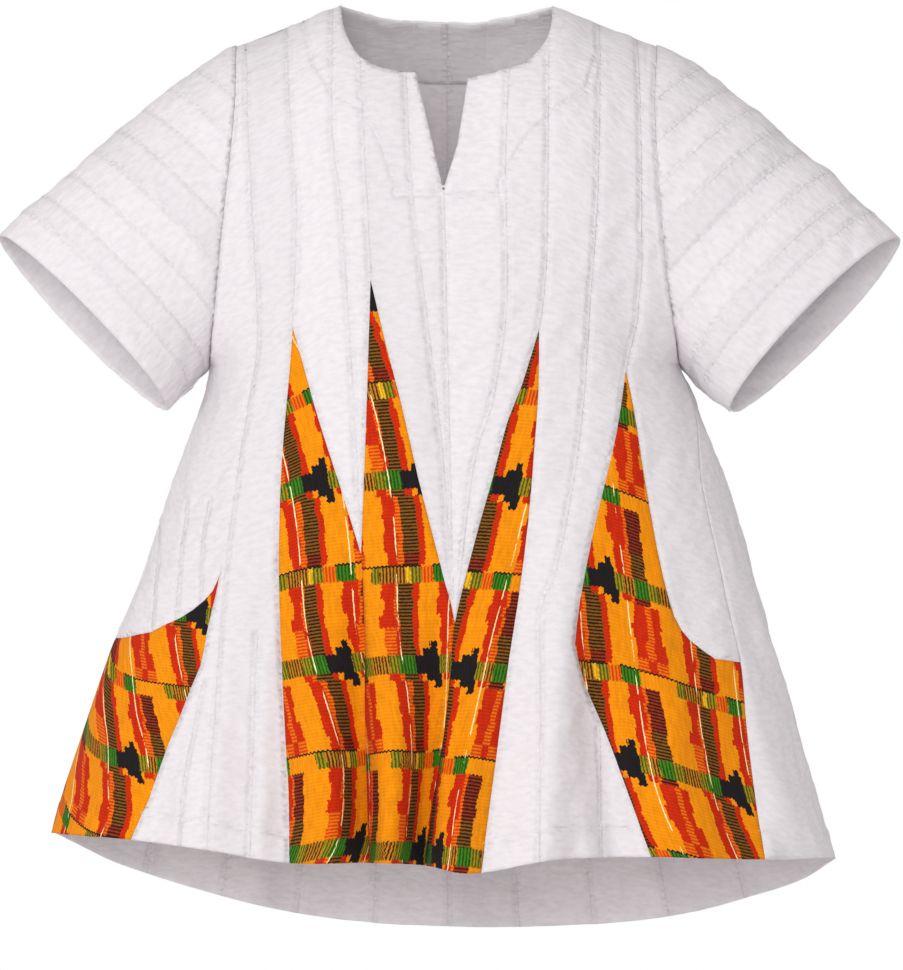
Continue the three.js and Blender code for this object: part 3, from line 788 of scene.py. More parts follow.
class Body:
    """The filled-out form of the smock's body: points on its outside, told by turn and level.

    A turn of -1 is the wearer's right side, 0 the middle of the front, 1 the left side and 2 the middle of
    the back. A level of 0 is the shoulder, 0.4 the armpit and 1 the hem. Lengths are in mm.
    """

    SHOULDER_WIDTH = 370.0
    NECK_WIDTH = 186.0
    SHOULDER_DROP = 36.0
    SHOULDER_ROUND = 115.0
    ARMPIT_DROP = 318.0
    CHEST_DROP = 150.0  # from here down the armholes close
    ARMHOLE_FRONT = 84.0
    ARMHOLE_BACK = 76.0
    ARMHOLE_BELLY = 0.55
    ARMPIT_LEVEL = 0.4
    ARMPIT_SOFTNESS = 1.6
    SQUARENESS = 2.3
    SEAM_GAP = 0.3
    RIGHT_CORNER = -729.0
    LEFT_CORNER = -751.0

    TURN_MM = 360.0  # a turn of 1, laid flat in the domain in which the cloth is divided
    LEVEL_MM = 740.0

    def __init__(self) -> None:
        """Make the curves of the body's widths, depths, hems and left seam."""
        self.right = Curve([(row.z, row.right) for row in BODY_LEVELS])
        self.left = Curve([(row.z, row.left) for row in BODY_LEVELS])
        self.front = Curve([(row.z, row.front) for row in BODY_LEVELS])
        self.back = Curve([(row.z, row.back) for row in BODY_LEVELS])
        self.front_hem = Curve(
            [(-345, -729), (-273, -735), (-207, -744), (-135, -755), (-68, -755), (-20, -757)]
            + [(20, -764), (95, -752), (175, -750), (275, -752), (343, -751)]
        )
        self.back_hem = Curve(
            [(-345, -729), (-295, -755), (-217, -781), (-139, -800), (-72, -809), (10, -813)]
            + [(74, -813), (153, -809), (222, -799), (279, -783), (317, -769), (343, -751)]
        )
        self.left_seam_in = Curve(
            [(-318, 0), (-360, 5), (-424, 24), (-514, 34), (-578, 36), (-640, 48), (-751, 68)]
        )

    def shoulder_line(self, x: np.ndarray) -> np.ndarray:
        """Return the height of the shoulder seam at x."""
        share = (np.abs(x) - self.NECK_WIDTH / 2) / ((self.SHOULDER_WIDTH - self.NECK_WIDTH) / 2)
        return -self.SHOULDER_DROP * np.clip(share, 0, 1)

    @staticmethod
    def fold_height(folds: tuple[Fold, ...], x: np.ndarray, z: np.ndarray) -> np.ndarray:
        """Return how far the folds lift the cloth out at a place seen from the front.

        Args:
            folds: the folds.
            x: in mm.
            z: in mm.

        Returns:
            The height in mm.
        """
        total = np.zeros_like(x)
        for fold in folds:
            down = np.clip((fold.top[1] - z) / (fold.top[1] - fold.hem[1]), 0, 1.1)
            off = x - mix(fold.top[0], fold.hem[0], down)
            share = np.minimum(down, 1)
            spread = mix(0.55, 1, share) * np.where(off < 0, fold.to_right, fold.to_left)
            across = np.clip(np.abs(off) / spread, 0, 1)
            total += fold.height * ease(share) * (0.5 + 0.5 * np.cos(math.pi * across))
        return total

    def corner_height(self, r: np.ndarray) -> np.ndarray:
        """Return where the hems meet at the side, told from the share of the half width."""
        return mix(self.RIGHT_CORNER, self.LEFT_CORNER, (r + 1) / 2)

    def side_height(self, r: np.ndarray, level: np.ndarray) -> np.ndarray:
        """Return a level's height at the side of the body."""
        above = mix(-self.SHOULDER_DROP, -self.ARMPIT_DROP, level / self.ARMPIT_LEVEL)
        share = (level - self.ARMPIT_LEVEL) / (1 - self.ARMPIT_LEVEL)
        below = mix(-self.ARMPIT_DROP, self.corner_height(r), share)
        return np.where(level < self.ARMPIT_LEVEL, above, below)

    def width(self, r: np.ndarray, z: np.ndarray) -> np.ndarray:
        """Return the body's half width at a height, on the side that r's sign tells."""
        return np.where(r < 0, self.right(z), self.left(z))

    def point(self, turn: np.ndarray, level: np.ndarray) -> np.ndarray:
        """Return the places of turns and levels, one row each. A level below 0 is over the shoulder.

        Args:
            turn: turns, which may go on past the sides.
            level: levels.

        Returns:
            The places in mm.
        """
        over = level < 0
        turn = np.where(over, 2 - turn, turn)
        turn = np.where(turn > 3, turn - 4, np.where(turn < -1, turn + 4, turn))
        level = np.abs(level)
        r = np.sin(math.pi / 2 * turn)
        front = turn <= 1
        side_z = self.side_height(r, level)
        x = r * self.width(r, side_z)
        top = self.shoulder_line(x)
        corner = self.corner_height(r)
        down = (side_z + self.SHOULDER_DROP) / (corner + self.SHOULDER_DROP)
        at_hem = r * self.width(r, corner)
        z = mix(top, np.where(front, self.front_hem(at_hem), self.back_hem(at_hem)), down)
        closed = ease((-side_z - self.CHEST_DROP) / (self.ARMPIT_DROP - self.CHEST_DROP))
        full = np.maximum(0, 1 - np.abs(r) ** self.SQUARENESS) ** mix(0.95, 0.5, closed)
        belly = self.ARMHOLE_BELLY * self.ARMPIT_DROP
        below = np.clip((-side_z - belly) / (self.ARMPIT_DROP - belly), 0, 1)
        closing = (1 - below**2) ** mix(self.ARMPIT_SOFTNESS, 0.5, np.abs(r) ** 6)
        side = np.where(front, self.ARMHOLE_FRONT, self.ARMHOLE_BACK) * closing
        middle = np.where(front, self.front(side_z), self.back(side_z))
        rounding = np.sqrt(1 - (1 - np.clip((top - z) / self.SHOULDER_ROUND, 0, 1)) ** 2)
        folds = np.where(front, self.fold_height(FRONT_FOLDS, x, z), self.fold_height(BACK_FOLDS, x, z))
        depth = rounding * mix(side, middle, full) + folds * np.minimum(1, 2.5 * full) + self.SEAM_GAP / 2
        return np.stack([x, np.where(front, -depth, depth), z], axis=1)

    def outward(self, turn: np.ndarray, level: np.ndarray) -> np.ndarray:
        """Return the direction out of the cloth at turns and levels. The armholes' edges are its ends.

        Args:
            turn: turns.
            level: levels.

        Returns:
            The directions, one row each.
        """
        step = 0.003
        open_edge = level < self.ARMPIT_LEVEL - 0.001
        low = np.where(turn <= 1, -1.0, 1.0)
        before = np.where(open_edge, np.maximum(turn - step, low), turn - step)
        after = np.where(open_edge, np.minimum(turn + step, low + 2), turn + step)
        after = np.where((turn <= 1) | (after <= 3), after, 3.0)
        across = self.point(after, level) - self.point(before, level)
        above = np.where(open_edge, level - step, np.maximum(level - step, self.ARMPIT_LEVEL))
        down = self.point(turn, level + step) - self.point(turn, above)
        return unit(np.cross(down, across))

    def left_seam_turn(self, level: np.ndarray) -> np.ndarray:
        """Return the turn at which the wearer's left side seam stands on a level."""
        z = self.side_height(np.ones_like(level), level)
        width = self.left(z)
        seam = 2 / math.pi * np.arcsin(np.clip((width - self.left_seam_in(z)) / width, -1, 1))
        return np.where(level <= self.ARMPIT_LEVEL, 1.0, seam)

    def locate(self, places: np.ndarray, hem: Curve | None = None) -> np.ndarray:
        """Find the turn and level of places on the front, seen from the front.

        Args:
            places: x and z in mm, one row each.
            hem: the hem that the level 1 follows, the front one where it is left out.

        Returns:
            Domain coordinates: turn and level as lengths in mm, one row each.
        """
        hem = hem or self.front_hem
        x, z = places[:, 0], places[:, 1]
        r = np.clip(x / self.width(x, z), -1, 1)
        side_z = z
        for _ in range(14):
            corner = self.corner_height(r)
            top = self.shoulder_line(x)
            down = (top - z) / (top - hem(r * self.width(r, corner)))
            side_z = down * (corner + self.SHOULDER_DROP) - self.SHOULDER_DROP
            r = np.clip(x / self.width(x, side_z), -1, 1)
        above = self.ARMPIT_LEVEL * (side_z + self.SHOULDER_DROP) / (self.SHOULDER_DROP - self.ARMPIT_DROP)
        share = (side_z + self.ARMPIT_DROP) / (self.corner_height(r) + self.ARMPIT_DROP)
        below = self.ARMPIT_LEVEL + (1 - self.ARMPIT_LEVEL) * share
        level = np.where(side_z > -self.ARMPIT_DROP, above, below)
        turn = 2 / math.pi * np.arcsin(r)
        return np.stack([turn * self.TURN_MM, level * self.LEVEL_MM], axis=1)


# ---------------------------------------------------------------- sheets of cloth


class BodySurface:
    """The body's outside as a surface over a flat domain in mm, with the cloth's own lengths along it."""

    COLUMNS = 160  # of the grid on which the cloth is measured
    ROWS = 60
    LEVELS = np.linspace(0, 1, 300)  # of the points along a side edge
    ARMHOLE = slice(121)  # those of them from the shoulder to the armpit

    def __init__(self, body: Body, back: bool) -> None:
        """Measure the cloth on a coarse grid.

        Args:
            body: the form.
            back: whether this is the back, whose middle is at a turn of 2.
        """
        self.body = body
        first, last = (0.6, 3.0) if back else (-1.0, 1.0)
        self.turns = np.linspace(first, last, self.COLUMNS + 1)
        turn, level = np.meshgrid(self.turns, np.linspace(0, 1, self.ROWS + 1), indexing="ij")
        grid = body.point(turn.ravel(), level.ravel()).reshape(*turn.shape, 3)
        along = np.linalg.norm(np.diff(grid, axis=0), axis=2)
        self.across = np.concatenate([np.zeros((1, self.ROWS + 1)), np.cumsum(along, axis=0)])
        middle = int(np.argmin(np.abs(self.turns - (2.0 if back else 0.0))))
        self.across -= self.across[middle]
        along = np.linalg.norm(np.diff(grid, axis=1), axis=2)
        self.down = np.concatenate([np.zeros((self.COLUMNS + 1, 1)), np.cumsum(along, axis=1)], axis=1)

    def side_line(self, turn: np.ndarray | float) -> np.ndarray:
        """Return the line down the cloth at one turn, or at one for each level."""
        across = turn * Body.TURN_MM * np.ones(len(self.LEVELS))
        return np.stack([across, self.LEVELS * Body.LEVEL_MM], axis=1)

    def hem_line(self, foot: np.ndarray, below: float = 0.0) -> np.ndarray:
        """Return the line of the hem's stitches over places along the foot, or so many mm below it."""
        level = 1 - Crinkle.hem / np.interp(foot[:, 0] / Body.TURN_MM, self.turns, self.down[:, -1])
        return np.stack([foot[:, 0], (level + below / Body.LEVEL_MM) * Body.LEVEL_MM], axis=1)

    def above_hem(self, at: np.ndarray) -> np.ndarray:
        """Return how far places lie above the hem along the cloth, in mm."""
        foot = np.stack([at[:, 0], np.full(len(at), Body.LEVEL_MM)], axis=1)
        return self.cloth(foot)[:, 1] - self.cloth(at)[:, 1]

    def split(self, at: np.ndarray) -> tuple[np.ndarray, np.ndarray]:
        """Return the turns and levels of places in the domain."""
        return at[:, 0] / Body.TURN_MM, at[:, 1] / Body.LEVEL_MM

    def point(self, at: np.ndarray) -> np.ndarray:
        """Return the points of the surface, in mm."""
        return self.body.point(*self.split(at))

    def outward(self, at: np.ndarray) -> np.ndarray:
        """Return the directions out of the surface."""
        return self.body.outward(*self.split(at))

    def cloth(self, at: np.ndarray) -> np.ndarray:
        """Return where the places lie on the flat cloth, in mm across and down.

        Args:
            at: places in the domain.

        Returns:
            The places on the cloth.
        """
        turn, level = self.split(at)
        i = np.clip((turn - self.turns[0]) / (self.turns[1] - self.turns[0]), 0, self.COLUMNS - 0.001)
        j = np.clip(level * self.ROWS, 0, self.ROWS - 0.001)
        a, b = i.astype(int), j.astype(int)
        u, v = i - a, j - b
        out = []
        for table in (self.across, self.down):
            low = mix(table[a, b], table[a + 1, b], u)
            high = mix(table[a, b + 1], table[a + 1, b + 1], u)
            out.append(mix(low, high, v))
        return np.stack(out, axis=1)


@dataclass(frozen=True)
class SleeveForm:
    """One sleeve's cuff, in mm: its middle and how far it is turned forwards, in degrees.

    Its strip seams show the less the higher worn_seams is.
    """

    name: str
    side: int
    middle: tuple[float, float, float]
    forward: float
    worn_seams: float


class SleeveSurface:
    """A sleeve as a surface over a flat domain in mm: round it, from the shoulder, and up from the cuff."""

    CUFF_HALF_LENGTH = 106.0
    CUFF_HALF_DEPTH = 56.0
    CUFF_SLOPE = 45.6
    CAP = 9.0
    GAP = 0.35
    ROUND_MM = 92.0  # a radian round the sleeve, laid flat

    def __init__(self, body: Body, form: SleeveForm) -> None:
        """Set up the cuff's axes.

        Args:
            body: the body, whose armhole the sleeve is sewn to.
            form: the sleeve's cuff.
        """
        self.body = body
        self.form = form
        slope, tilt = math.radians(self.CUFF_SLOPE), math.radians(form.forward)
        self.up = np.array([form.side * math.cos(slope), 0, math.sin(slope)])
        self.along = np.array([form.side * math.sin(slope), 0, -math.cos(slope)])
        self.ahead = np.array([0, -math.cos(tilt), 0]) - math.sin(tilt) * self.along
        self.cap = np.array([form.side * 0.5, 0, 0.87])

    def edges(self, angle: np.ndarray) -> tuple[np.ndarray, np.ndarray]:
        """Return the armhole's and the cuff's points at angles round the sleeve. 0 is the shoulder.

        Args:
            angle: the angles.

        Returns:
            The points of the armhole and those of the cuff.
        """
        level = Body.ARMPIT_LEVEL * (1 - np.cos(angle)) / 2
        back = 3.0 if self.form.side < 0 else 1.00001
        turn = np.where(np.sin(angle) >= 0, float(self.form.side), back)
        armhole = self.body.point(turn, level) + np.array([self.form.side * self.GAP, 0, 0])
        cuff = (
            np.array(self.form.middle)
            + self.CUFF_HALF_LENGTH * np.cos(angle)[:, None] * self.up
            + self.CUFF_HALF_DEPTH * np.sin(angle)[:, None] * self.ahead
        )
        return armhole, cuff

    def length(self, angle: np.ndarray) -> np.ndarray:
        """Return the sleeve's length from the armhole to the cuff at angles round it."""
        armhole, cuff = self.edges(angle)
        return np.linalg.norm(cuff - armhole, axis=1)

    def angle(self, at: np.ndarray) -> np.ndarray:
        """Return the angles of places in the domain."""
        return at[:, 0] / self.ROUND_MM

    def point(self, at: np.ndarray) -> np.ndarray:
        """Return the points of the surface, in mm.

        Args:
            at: places in the domain.

        Returns:
            The points.
        """
        angle = self.angle(at)
        armhole, cuff = self.edges(angle)
        share = np.clip(1 - at[:, 1] / np.linalg.norm(cuff - armhole, axis=1), -0.05, 1.05)
        inner = np.clip(share, 0, 1)
        swell = self.CAP * np.sin(math.pi * inner**0.7) * np.maximum(0, np.cos(angle))
        return armhole + (cuff - armhole) * share[:, None] + swell[:, None] * self.cap

    def outward(self, at: np.ndarray) -> np.ndarray:
        """Return the directions out of the surface.

        Args:
            at: places in the domain.

        Returns:
            The directions, one row each.
        """
        step = np.array([1.2, 0.0])
        rise = np.array([0.0, 1.2])
        round_it = self.point(at + step) - self.point(at - step)
        up = self.point(at + rise) - self.point(at - rise)
        return unit(np.cross(round_it, up) * self.form.side)

    def cloth(self, at: np.ndarray) -> np.ndarray:
        """Return where the places lie on the flat cloth, in mm across the strips and along them."""
        return np.stack([at[:, 1], at[:, 0]], axis=1)


def hex_grid(low: np.ndarray, high: np.ndarray, across: float, down: float) -> np.ndarray:
    """Return points in staggered rows over a box, with the given spacings in mm.

    Args:
        low: the box's low corner.
        high: its high corner.
        across: spacing in a row.
        down: spacing of the rows.

    Returns:
        The points.
    """
    columns = np.arange(low[0], high[0] + across, across)
    rows = np.arange(low[1], high[1] + down, down)
    x, y = np.meshgrid(columns, rows)
    x = x + (np.arange(len(rows)) % 2)[:, None] * across / 2
    return np.stack([x.ravel(), y.ravel()], axis=1)


def triangulate(
    points: np.ndarray, lines: list[np.ndarray], clear: float
) -> tuple[np.ndarray, np.ndarray]:
    """Divide a flat domain into triangles whose edges follow some lines.

    Args:
        points: loose points. Those nearer to a line than clear are left out.
        lines: polylines in the domain.
        clear: distance in mm.

    Returns:
        The vertices and the triangles.
    """
    corners = np.vstack(lines)
    loose = points[distance_to(points, corners) > clear]
    edges = []
    start = 0
    for line in lines:
        edges += [(start + i, start + i + 1) for i in range(len(line) - 1)]
        start += len(line)
    everything = [Vector(p) for p in np.vstack([corners, loose])]
    vertices, _, faces, _, _, _ = delaunay_2d_cdt(everything, edges, [], 0, 1e-4)
    return np.array([tuple(v) for v in vertices]), np.array(faces, int)


@dataclass
class Cut:
    """A part of a divided sheet that becomes one piece of cloth.

    Attributes:
        name: the frame's node that it stands for.
        triangles: its triangles.
        finish: its material.
        slot: the record's slot for it, not used.
        flat: width and length of the cut, in metres, not used.
        thickness: of the cloth, in mm.
        inset: how far its outside lies inside the surface, in mm.
        seams: the sheet's distances from the seams of this piece, where it has its own.
    """

    name: str
    triangles: np.ndarray
    finish: Material
    slot: str
    flat: tuple[float, float]
    thickness: float = 1.2
    inset: float = 0.0
    seams: np.ndarray | None = None


class Sheet:
    """A divided sheet of cloth: its vertices in the domain, in space, and on the flat cloth."""

    SEAM_LIMIT_MM = 12.0  # beyond this the distance from a seam doesn't count
    SMALLEST_SHARE = 0.31  # of its rectangle that a cut is said to take

    def __init__(self, surface: BodySurface | SleeveSurface, at: np.ndarray, triangles: np.ndarray) -> None:
        """Work out where the vertices lie.

        Args:
            surface: the surface that the sheet follows.
            at: the vertices in the surface's domain.
            triangles: the triangles.
        """
        self.surface = surface
        self.at = at
        self.triangles = triangles
        self.place = surface.point(at)
        self.outward = surface.outward(at)
        self.cloth = surface.cloth(at)
        self.relief = np.zeros(len(at))
        self.strip = np.zeros(len(at))
        self.seam = np.full(len(at), self.SEAM_LIMIT_MM)

    def skin(self, depth: float) -> np.ndarray:
        """Return the vertices in space at a depth below the surface, in mm."""
        return self.place + self.outward * (self.relief - depth)[:, None]

    def build(self, cut: Cut, strips: np.ndarray) -> None:
        """Make one piece of cloth as a closed wall, and hide the frame's part that it stands for.

        Args:
            cut: the piece.
            strips: the strip that each of the sheet's triangles belongs to.
        """
        used, index = np.unique(self.triangles[cut.triangles], return_inverse=True)
        outer = index.reshape(-1, 3)
        count = len(used)
        edges = np.vstack([outer[:, [0, 1]], outer[:, [1, 2]], outer[:, [2, 0]]])
        key = edges[:, 0].astype(np.int64) * count + edges[:, 1]
        back = edges[:, 1].astype(np.int64) * count + edges[:, 0]
        rim = edges[~np.isin(back, key)]
        inner = outer[:, ::-1] + count
        a, b = rim[:, 0], rim[:, 1]
        wall = np.vstack([np.stack([b, a, a + count], 1), np.stack([b, a + count, b + count], 1)])
        faces = np.vstack([outer, inner, wall])
        corners = np.vstack([self.skin(cut.inset)[used], self.skin(cut.inset + cut.thickness)[used]])
        mesh = bpy.data.meshes.new(f"cloth_{cut.name}")
        mesh.from_pydata((corners * MM).tolist(), [], faces.tolist())
        piece = new_object(f"cloth_{cut.name}", mesh)
        mesh.polygons.foreach_set("use_smooth", np.arange(len(faces)) < len(outer) + len(inner))
        flat = np.vstack([self.cloth[used]] * 2) * MM
        layer = mesh.uv_layers.new(name="flat")
        loops = faces.ravel()
        layer.data.foreach_set("uv", flat[loops].astype(np.float32).ravel())
        own = strips[cut.triangles]
        per_face = np.concatenate([own, own, np.zeros(len(wall))])
        strip = mesh.attributes.new("strip", "FLOAT", "CORNER")
        strip.data.foreach_set("value", np.repeat(per_face, 3).astype(np.float32))
        seam = mesh.attributes.new("seam", "FLOAT", "POINT")
        from_seam = (self.seam if cut.seams is None else cut.seams)[used]
        seam.data.foreach_set("value", np.concatenate([from_seam] * 2).astype(np.float32))
        mesh.materials.append(cut.finish)
        mesh.update()
        a, b, c = (corners[outer[:, i]] for i in range(3))
        area_m2 = float(0.5 * np.linalg.norm(np.cross(b - a, c - a), axis=1).sum()) * MM * MM
        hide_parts(cut.name)
        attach(piece, ROOT)
        log.info("%s: %d triangles, cloth %.4f m2", cut.name, len(faces), area_m2)


# ---------------------------------------------------------------- seams and outlines


@dataclass(frozen=True)
class StripSeam:
    """A seam between two strips of the cloth, seen from the front.

    Attributes:
        line: its course as x and z in mm, from the top down.
        beyond: where the edge of the strip goes on below it, along a gore.
        counted: whether the cloth's crinkle starts afresh at it.
    """

    line: tuple[tuple[float, float], ...]
    beyond: tuple[tuple[float, float], ...] = ()
    counted: bool = True

    def edge(self, z: np.ndarray) -> np.ndarray:
        """Return the x of the seam, or of the edge below it, at each height."""
        rows = sorted(((z, x) for x, z in self.line + self.beyond))
        return np.interp(z, [row[0] for row in rows], [row[1] for row in rows])


def front_strips(places: np.ndarray) -> np.ndarray:
    """Return the strips that places seen from the front lie on, counted from the wearer's right.

    Args:
        places: x and z in mm, one row each.

    Returns:
        The strips' numbers.
    """
    x, z = places.T
    strips = np.zeros(len(places))
    for seam in FRONT_SEAMS:
        if seam.counted:
            strips += x > seam.edge(z)
    return strips


FRONT_SEAMS = (
    StripSeam(
        ((-177, -30), (-170, -182), (-164, -297), (-175, -381), (-187, -470), (-194, -538))
        + ((-201, -651), (-208, -800))
    ),
    StripSeam(((-142, 0), (-136, -120), (-130, -199), (-134, -290)), ((-144, -440), (-135, -755))),
    StripSeam(((-100, 0), (-100, -123), (-92, -182), (-84, -297), (-79, -390), (-74, -482)), ((-66, -755),)),
    StripSeam(((-77, -46), (-71, -153), (-66, -245)), ((-74, -490), (-63, -760))),
    StripSeam(
        ((-36, -66), (-32, -153), (-23, -240), (-12, -332), (-3, -413), (4, -528)),
        ((7, -549), (-19, -755)),
    ),
    StripSeam(((-3, -171), (0, -297), (5, -528)), ((7, -549), (-19, -755))),
    StripSeam(
        ((54, -64), (50, -153), (52, -269), (40, -355), (23, -413), (8, -537)),
        ((7, -549), (-19, -755)),
    ),
    StripSeam(
        ((88, -30), (87, -153), (86, -240), (80, -295)),
        ((79, -348), (70, -462), (54, -577), (29, -764)),
    ),
    StripSeam(
        ((134, 0), (130, -182), (124, -269), (115, -384), (95, -500), (81, -537), (80, -615), (78, -800))
    ),
    StripSeam(
        ((166, 0), (169, -240), (155, -327)),
        ((146, -384), (125, -473), (110, -568), (136, -642), (175, -750)),
    ),
    StripSeam(((-163, -558), (-166, -632), (-170, -800)), counted=False),
    StripSeam(((-211, -599), (-222, -666), (-236, -800)), counted=False),
    StripSeam(((131, -640), (133, -800)), counted=False),
    StripSeam(((-252, -440), (-254, -507), (-256, -555)), counted=False),
    StripSeam(((-228, -440), (-233, -494), (-235, -545)), counted=False),
    StripSeam(((-207, -440), (-213, -476), (-214, -530)), counted=False),
)
BACK_SEAM_SHARES = (-0.78, -0.58, -0.385, -0.19, 0.0, 0.19, 0.385, 0.58, 0.78)

NECK_RIGHT: Outline = [
    (-93, 0), (-92, -14), (-89, -28), (-84, -40), (-75, -53), (-62, -62), (-49, -66), (-27, -69)
]
SLIT: Outline = [(-19, -104), (-11, -140), (-4, -170), (-2, -170), (9, -135), (15, -97)]
SLIT_FOOT = (-3.0, -172.0)
ABOVE_ALL = 60.0  # a height above the whole smock, at which open outlines are closed
NECK_LEFT: Outline = [(18, -75), (31, -71), (50, -67), (64, -62), (78, -51), (88, -35), (92, -17), (93, 0)]
FACING: Outline = (
    [(-128, 0), (-126, -23), (-117, -58), (-97, -89), (-71, -103), (-55, -138), (-45, -169), (-45, -178)]
    + [(46, -178), (46, -164), (68, -129), (94, -103), (120, -85), (131, -49), (131, -21), (132, 0)]
)
BACK_FACING: Outline = (
    [(-132, 40), (-132, -22), (-110, -40), (-80, -51), (-40, -59), (0, -61), (40, -59), (80, -51), (110, -40)]
    + [(132, -22), (132, 40)]
)


def neck_edge() -> np.ndarray:
    """Return the edge of the front neck and its slit, from the wearer's right to the left."""
    return np.vstack([spline(NECK_RIGHT), np.array(SLIT, float), spline(NECK_LEFT)])


FIRST_VALLEY: Outline = [(-74, -490), (-71, -560), (-70, -640), (-66, -755), (-63, -860)]
MIDDLE_VALLEY: Outline = [(7, -549), (1, -600), (-8, -679), (-19, -755), (-32, -860)]


@dataclass(frozen=True)
class Gore:
    """A printed gore: its edges as runs that are each a smooth curve, and how the print lies on it.

    Attributes:
        name: the frame's node.
        right: runs of its edge towards -X, from the top down.
        left: runs of its other edge.
        flat: width and length of its cut, in metres.
        tilt: how far the print's strips lean, in degrees.
        shift: how far the print is moved across and down, in mm.
        centred: whether the strips lean from the gore's middle line, and not from the cloth's length.
    """

    name: str
    right: tuple[Outline, ...]
    left: tuple[Outline, ...]
    flat: tuple[float, float]
    tilt: float
    shift: tuple[float, float]
    centred: bool = True

    def edges(self) -> list[np.ndarray]:
        """Return both edges, from the top down."""
        return [np.vstack([spline(run, 2) for run in side]) for side in (self.right, self.left)]

    def outline(self) -> np.ndarray:
        """Return the closed outline, seen from the front."""
        right, left = self.edges()
        return np.vstack([right, left[::-1]])


GORES = (
    Gore(
        "gore_side_right",
        ([(-195, -502), (-203, -520), (-220, -536), (-246, -550), (-281, -558), (-420, -562)],
         [(-420, -860)]),
        ([(-195, -502), (-201, -527), (-208, -558), (-213, -585), (-228, -621), (-257, -699), (-273, -735),
          (-316, -860)],),
        flat=(0.20, 0.27),
        tilt=-15.0,
        shift=(34.0, 92.0),
        centred=False,
    ),
    Gore(
        "gore_outer_right",
        ([(-134, -292), (-140, -371), (-144, -440), (-145, -513), (-141, -600), (-137, -680), (-135, -755),
          (-134, -860)],),
        ([(-134, -292), (-122, -335), (-107, -384), (-90, -437), (-74, -490)], FIRST_VALLEY),
        flat=(0.13, 0.49),
        tilt=6.0,
        shift=(4.0, 72.0),
    ),
    Gore(
        "gore_inner_right",
        ([(-66, -252), (-68, -330), (-71, -420), (-74, -490)], FIRST_VALLEY),
        ([(-66, -252), (-54, -303), (-39, -361), (-24, -427), (-7, -493), (7, -549)], MIDDLE_VALLEY),
        flat=(0.14, 0.52),
        tilt=3.0,
        shift=(70.0, 70.0),
    ),
    Gore(
        "gore_inner_left",
        ([(80, -295), (65, -343), (52, -376), (40, -422), (27, -468), (14, -518), (7, -549)], MIDDLE_VALLEY),
        ([(80, -295), (79, -348), (75, -399), (70, -462), (62, -526), (54, -577), (42, -670), (29, -764),
          (16, -860)],),
        flat=(0.12, 0.49),
        tilt=-4.0,
        shift=(30.0, 65.0),
    ),
    Gore(
        "gore_broad_left",
        ([(155, -329), (146, -384), (135, -432), (125, -473), (114, -530), (110, -568)],
         [(110, -568), (120, -604), (136, -642), (151, -682), (175, -750), (212, -860)]),
        ([(155, -329), (161, -361), (168, -407), (176, -452), (187, -509), (197, -543), (210, -563),
          (230, -578)],
         [(230, -578), (253, -581), (420, -586)], [(420, -860)]),
        flat=(0.21, 0.46),
        tilt=-5.0,
        shift=(52.0, -17.0),
    ),
)

SLEEVES = (
    SleeveForm("sleeve_right", -1, (-319, -30, -282), 11, 0.9),
    SleeveForm("sleeve_left", 1, (323, -32, -284), 15, 0.0),
)


# ---------------------------------------------------------------- the cloth's own relief


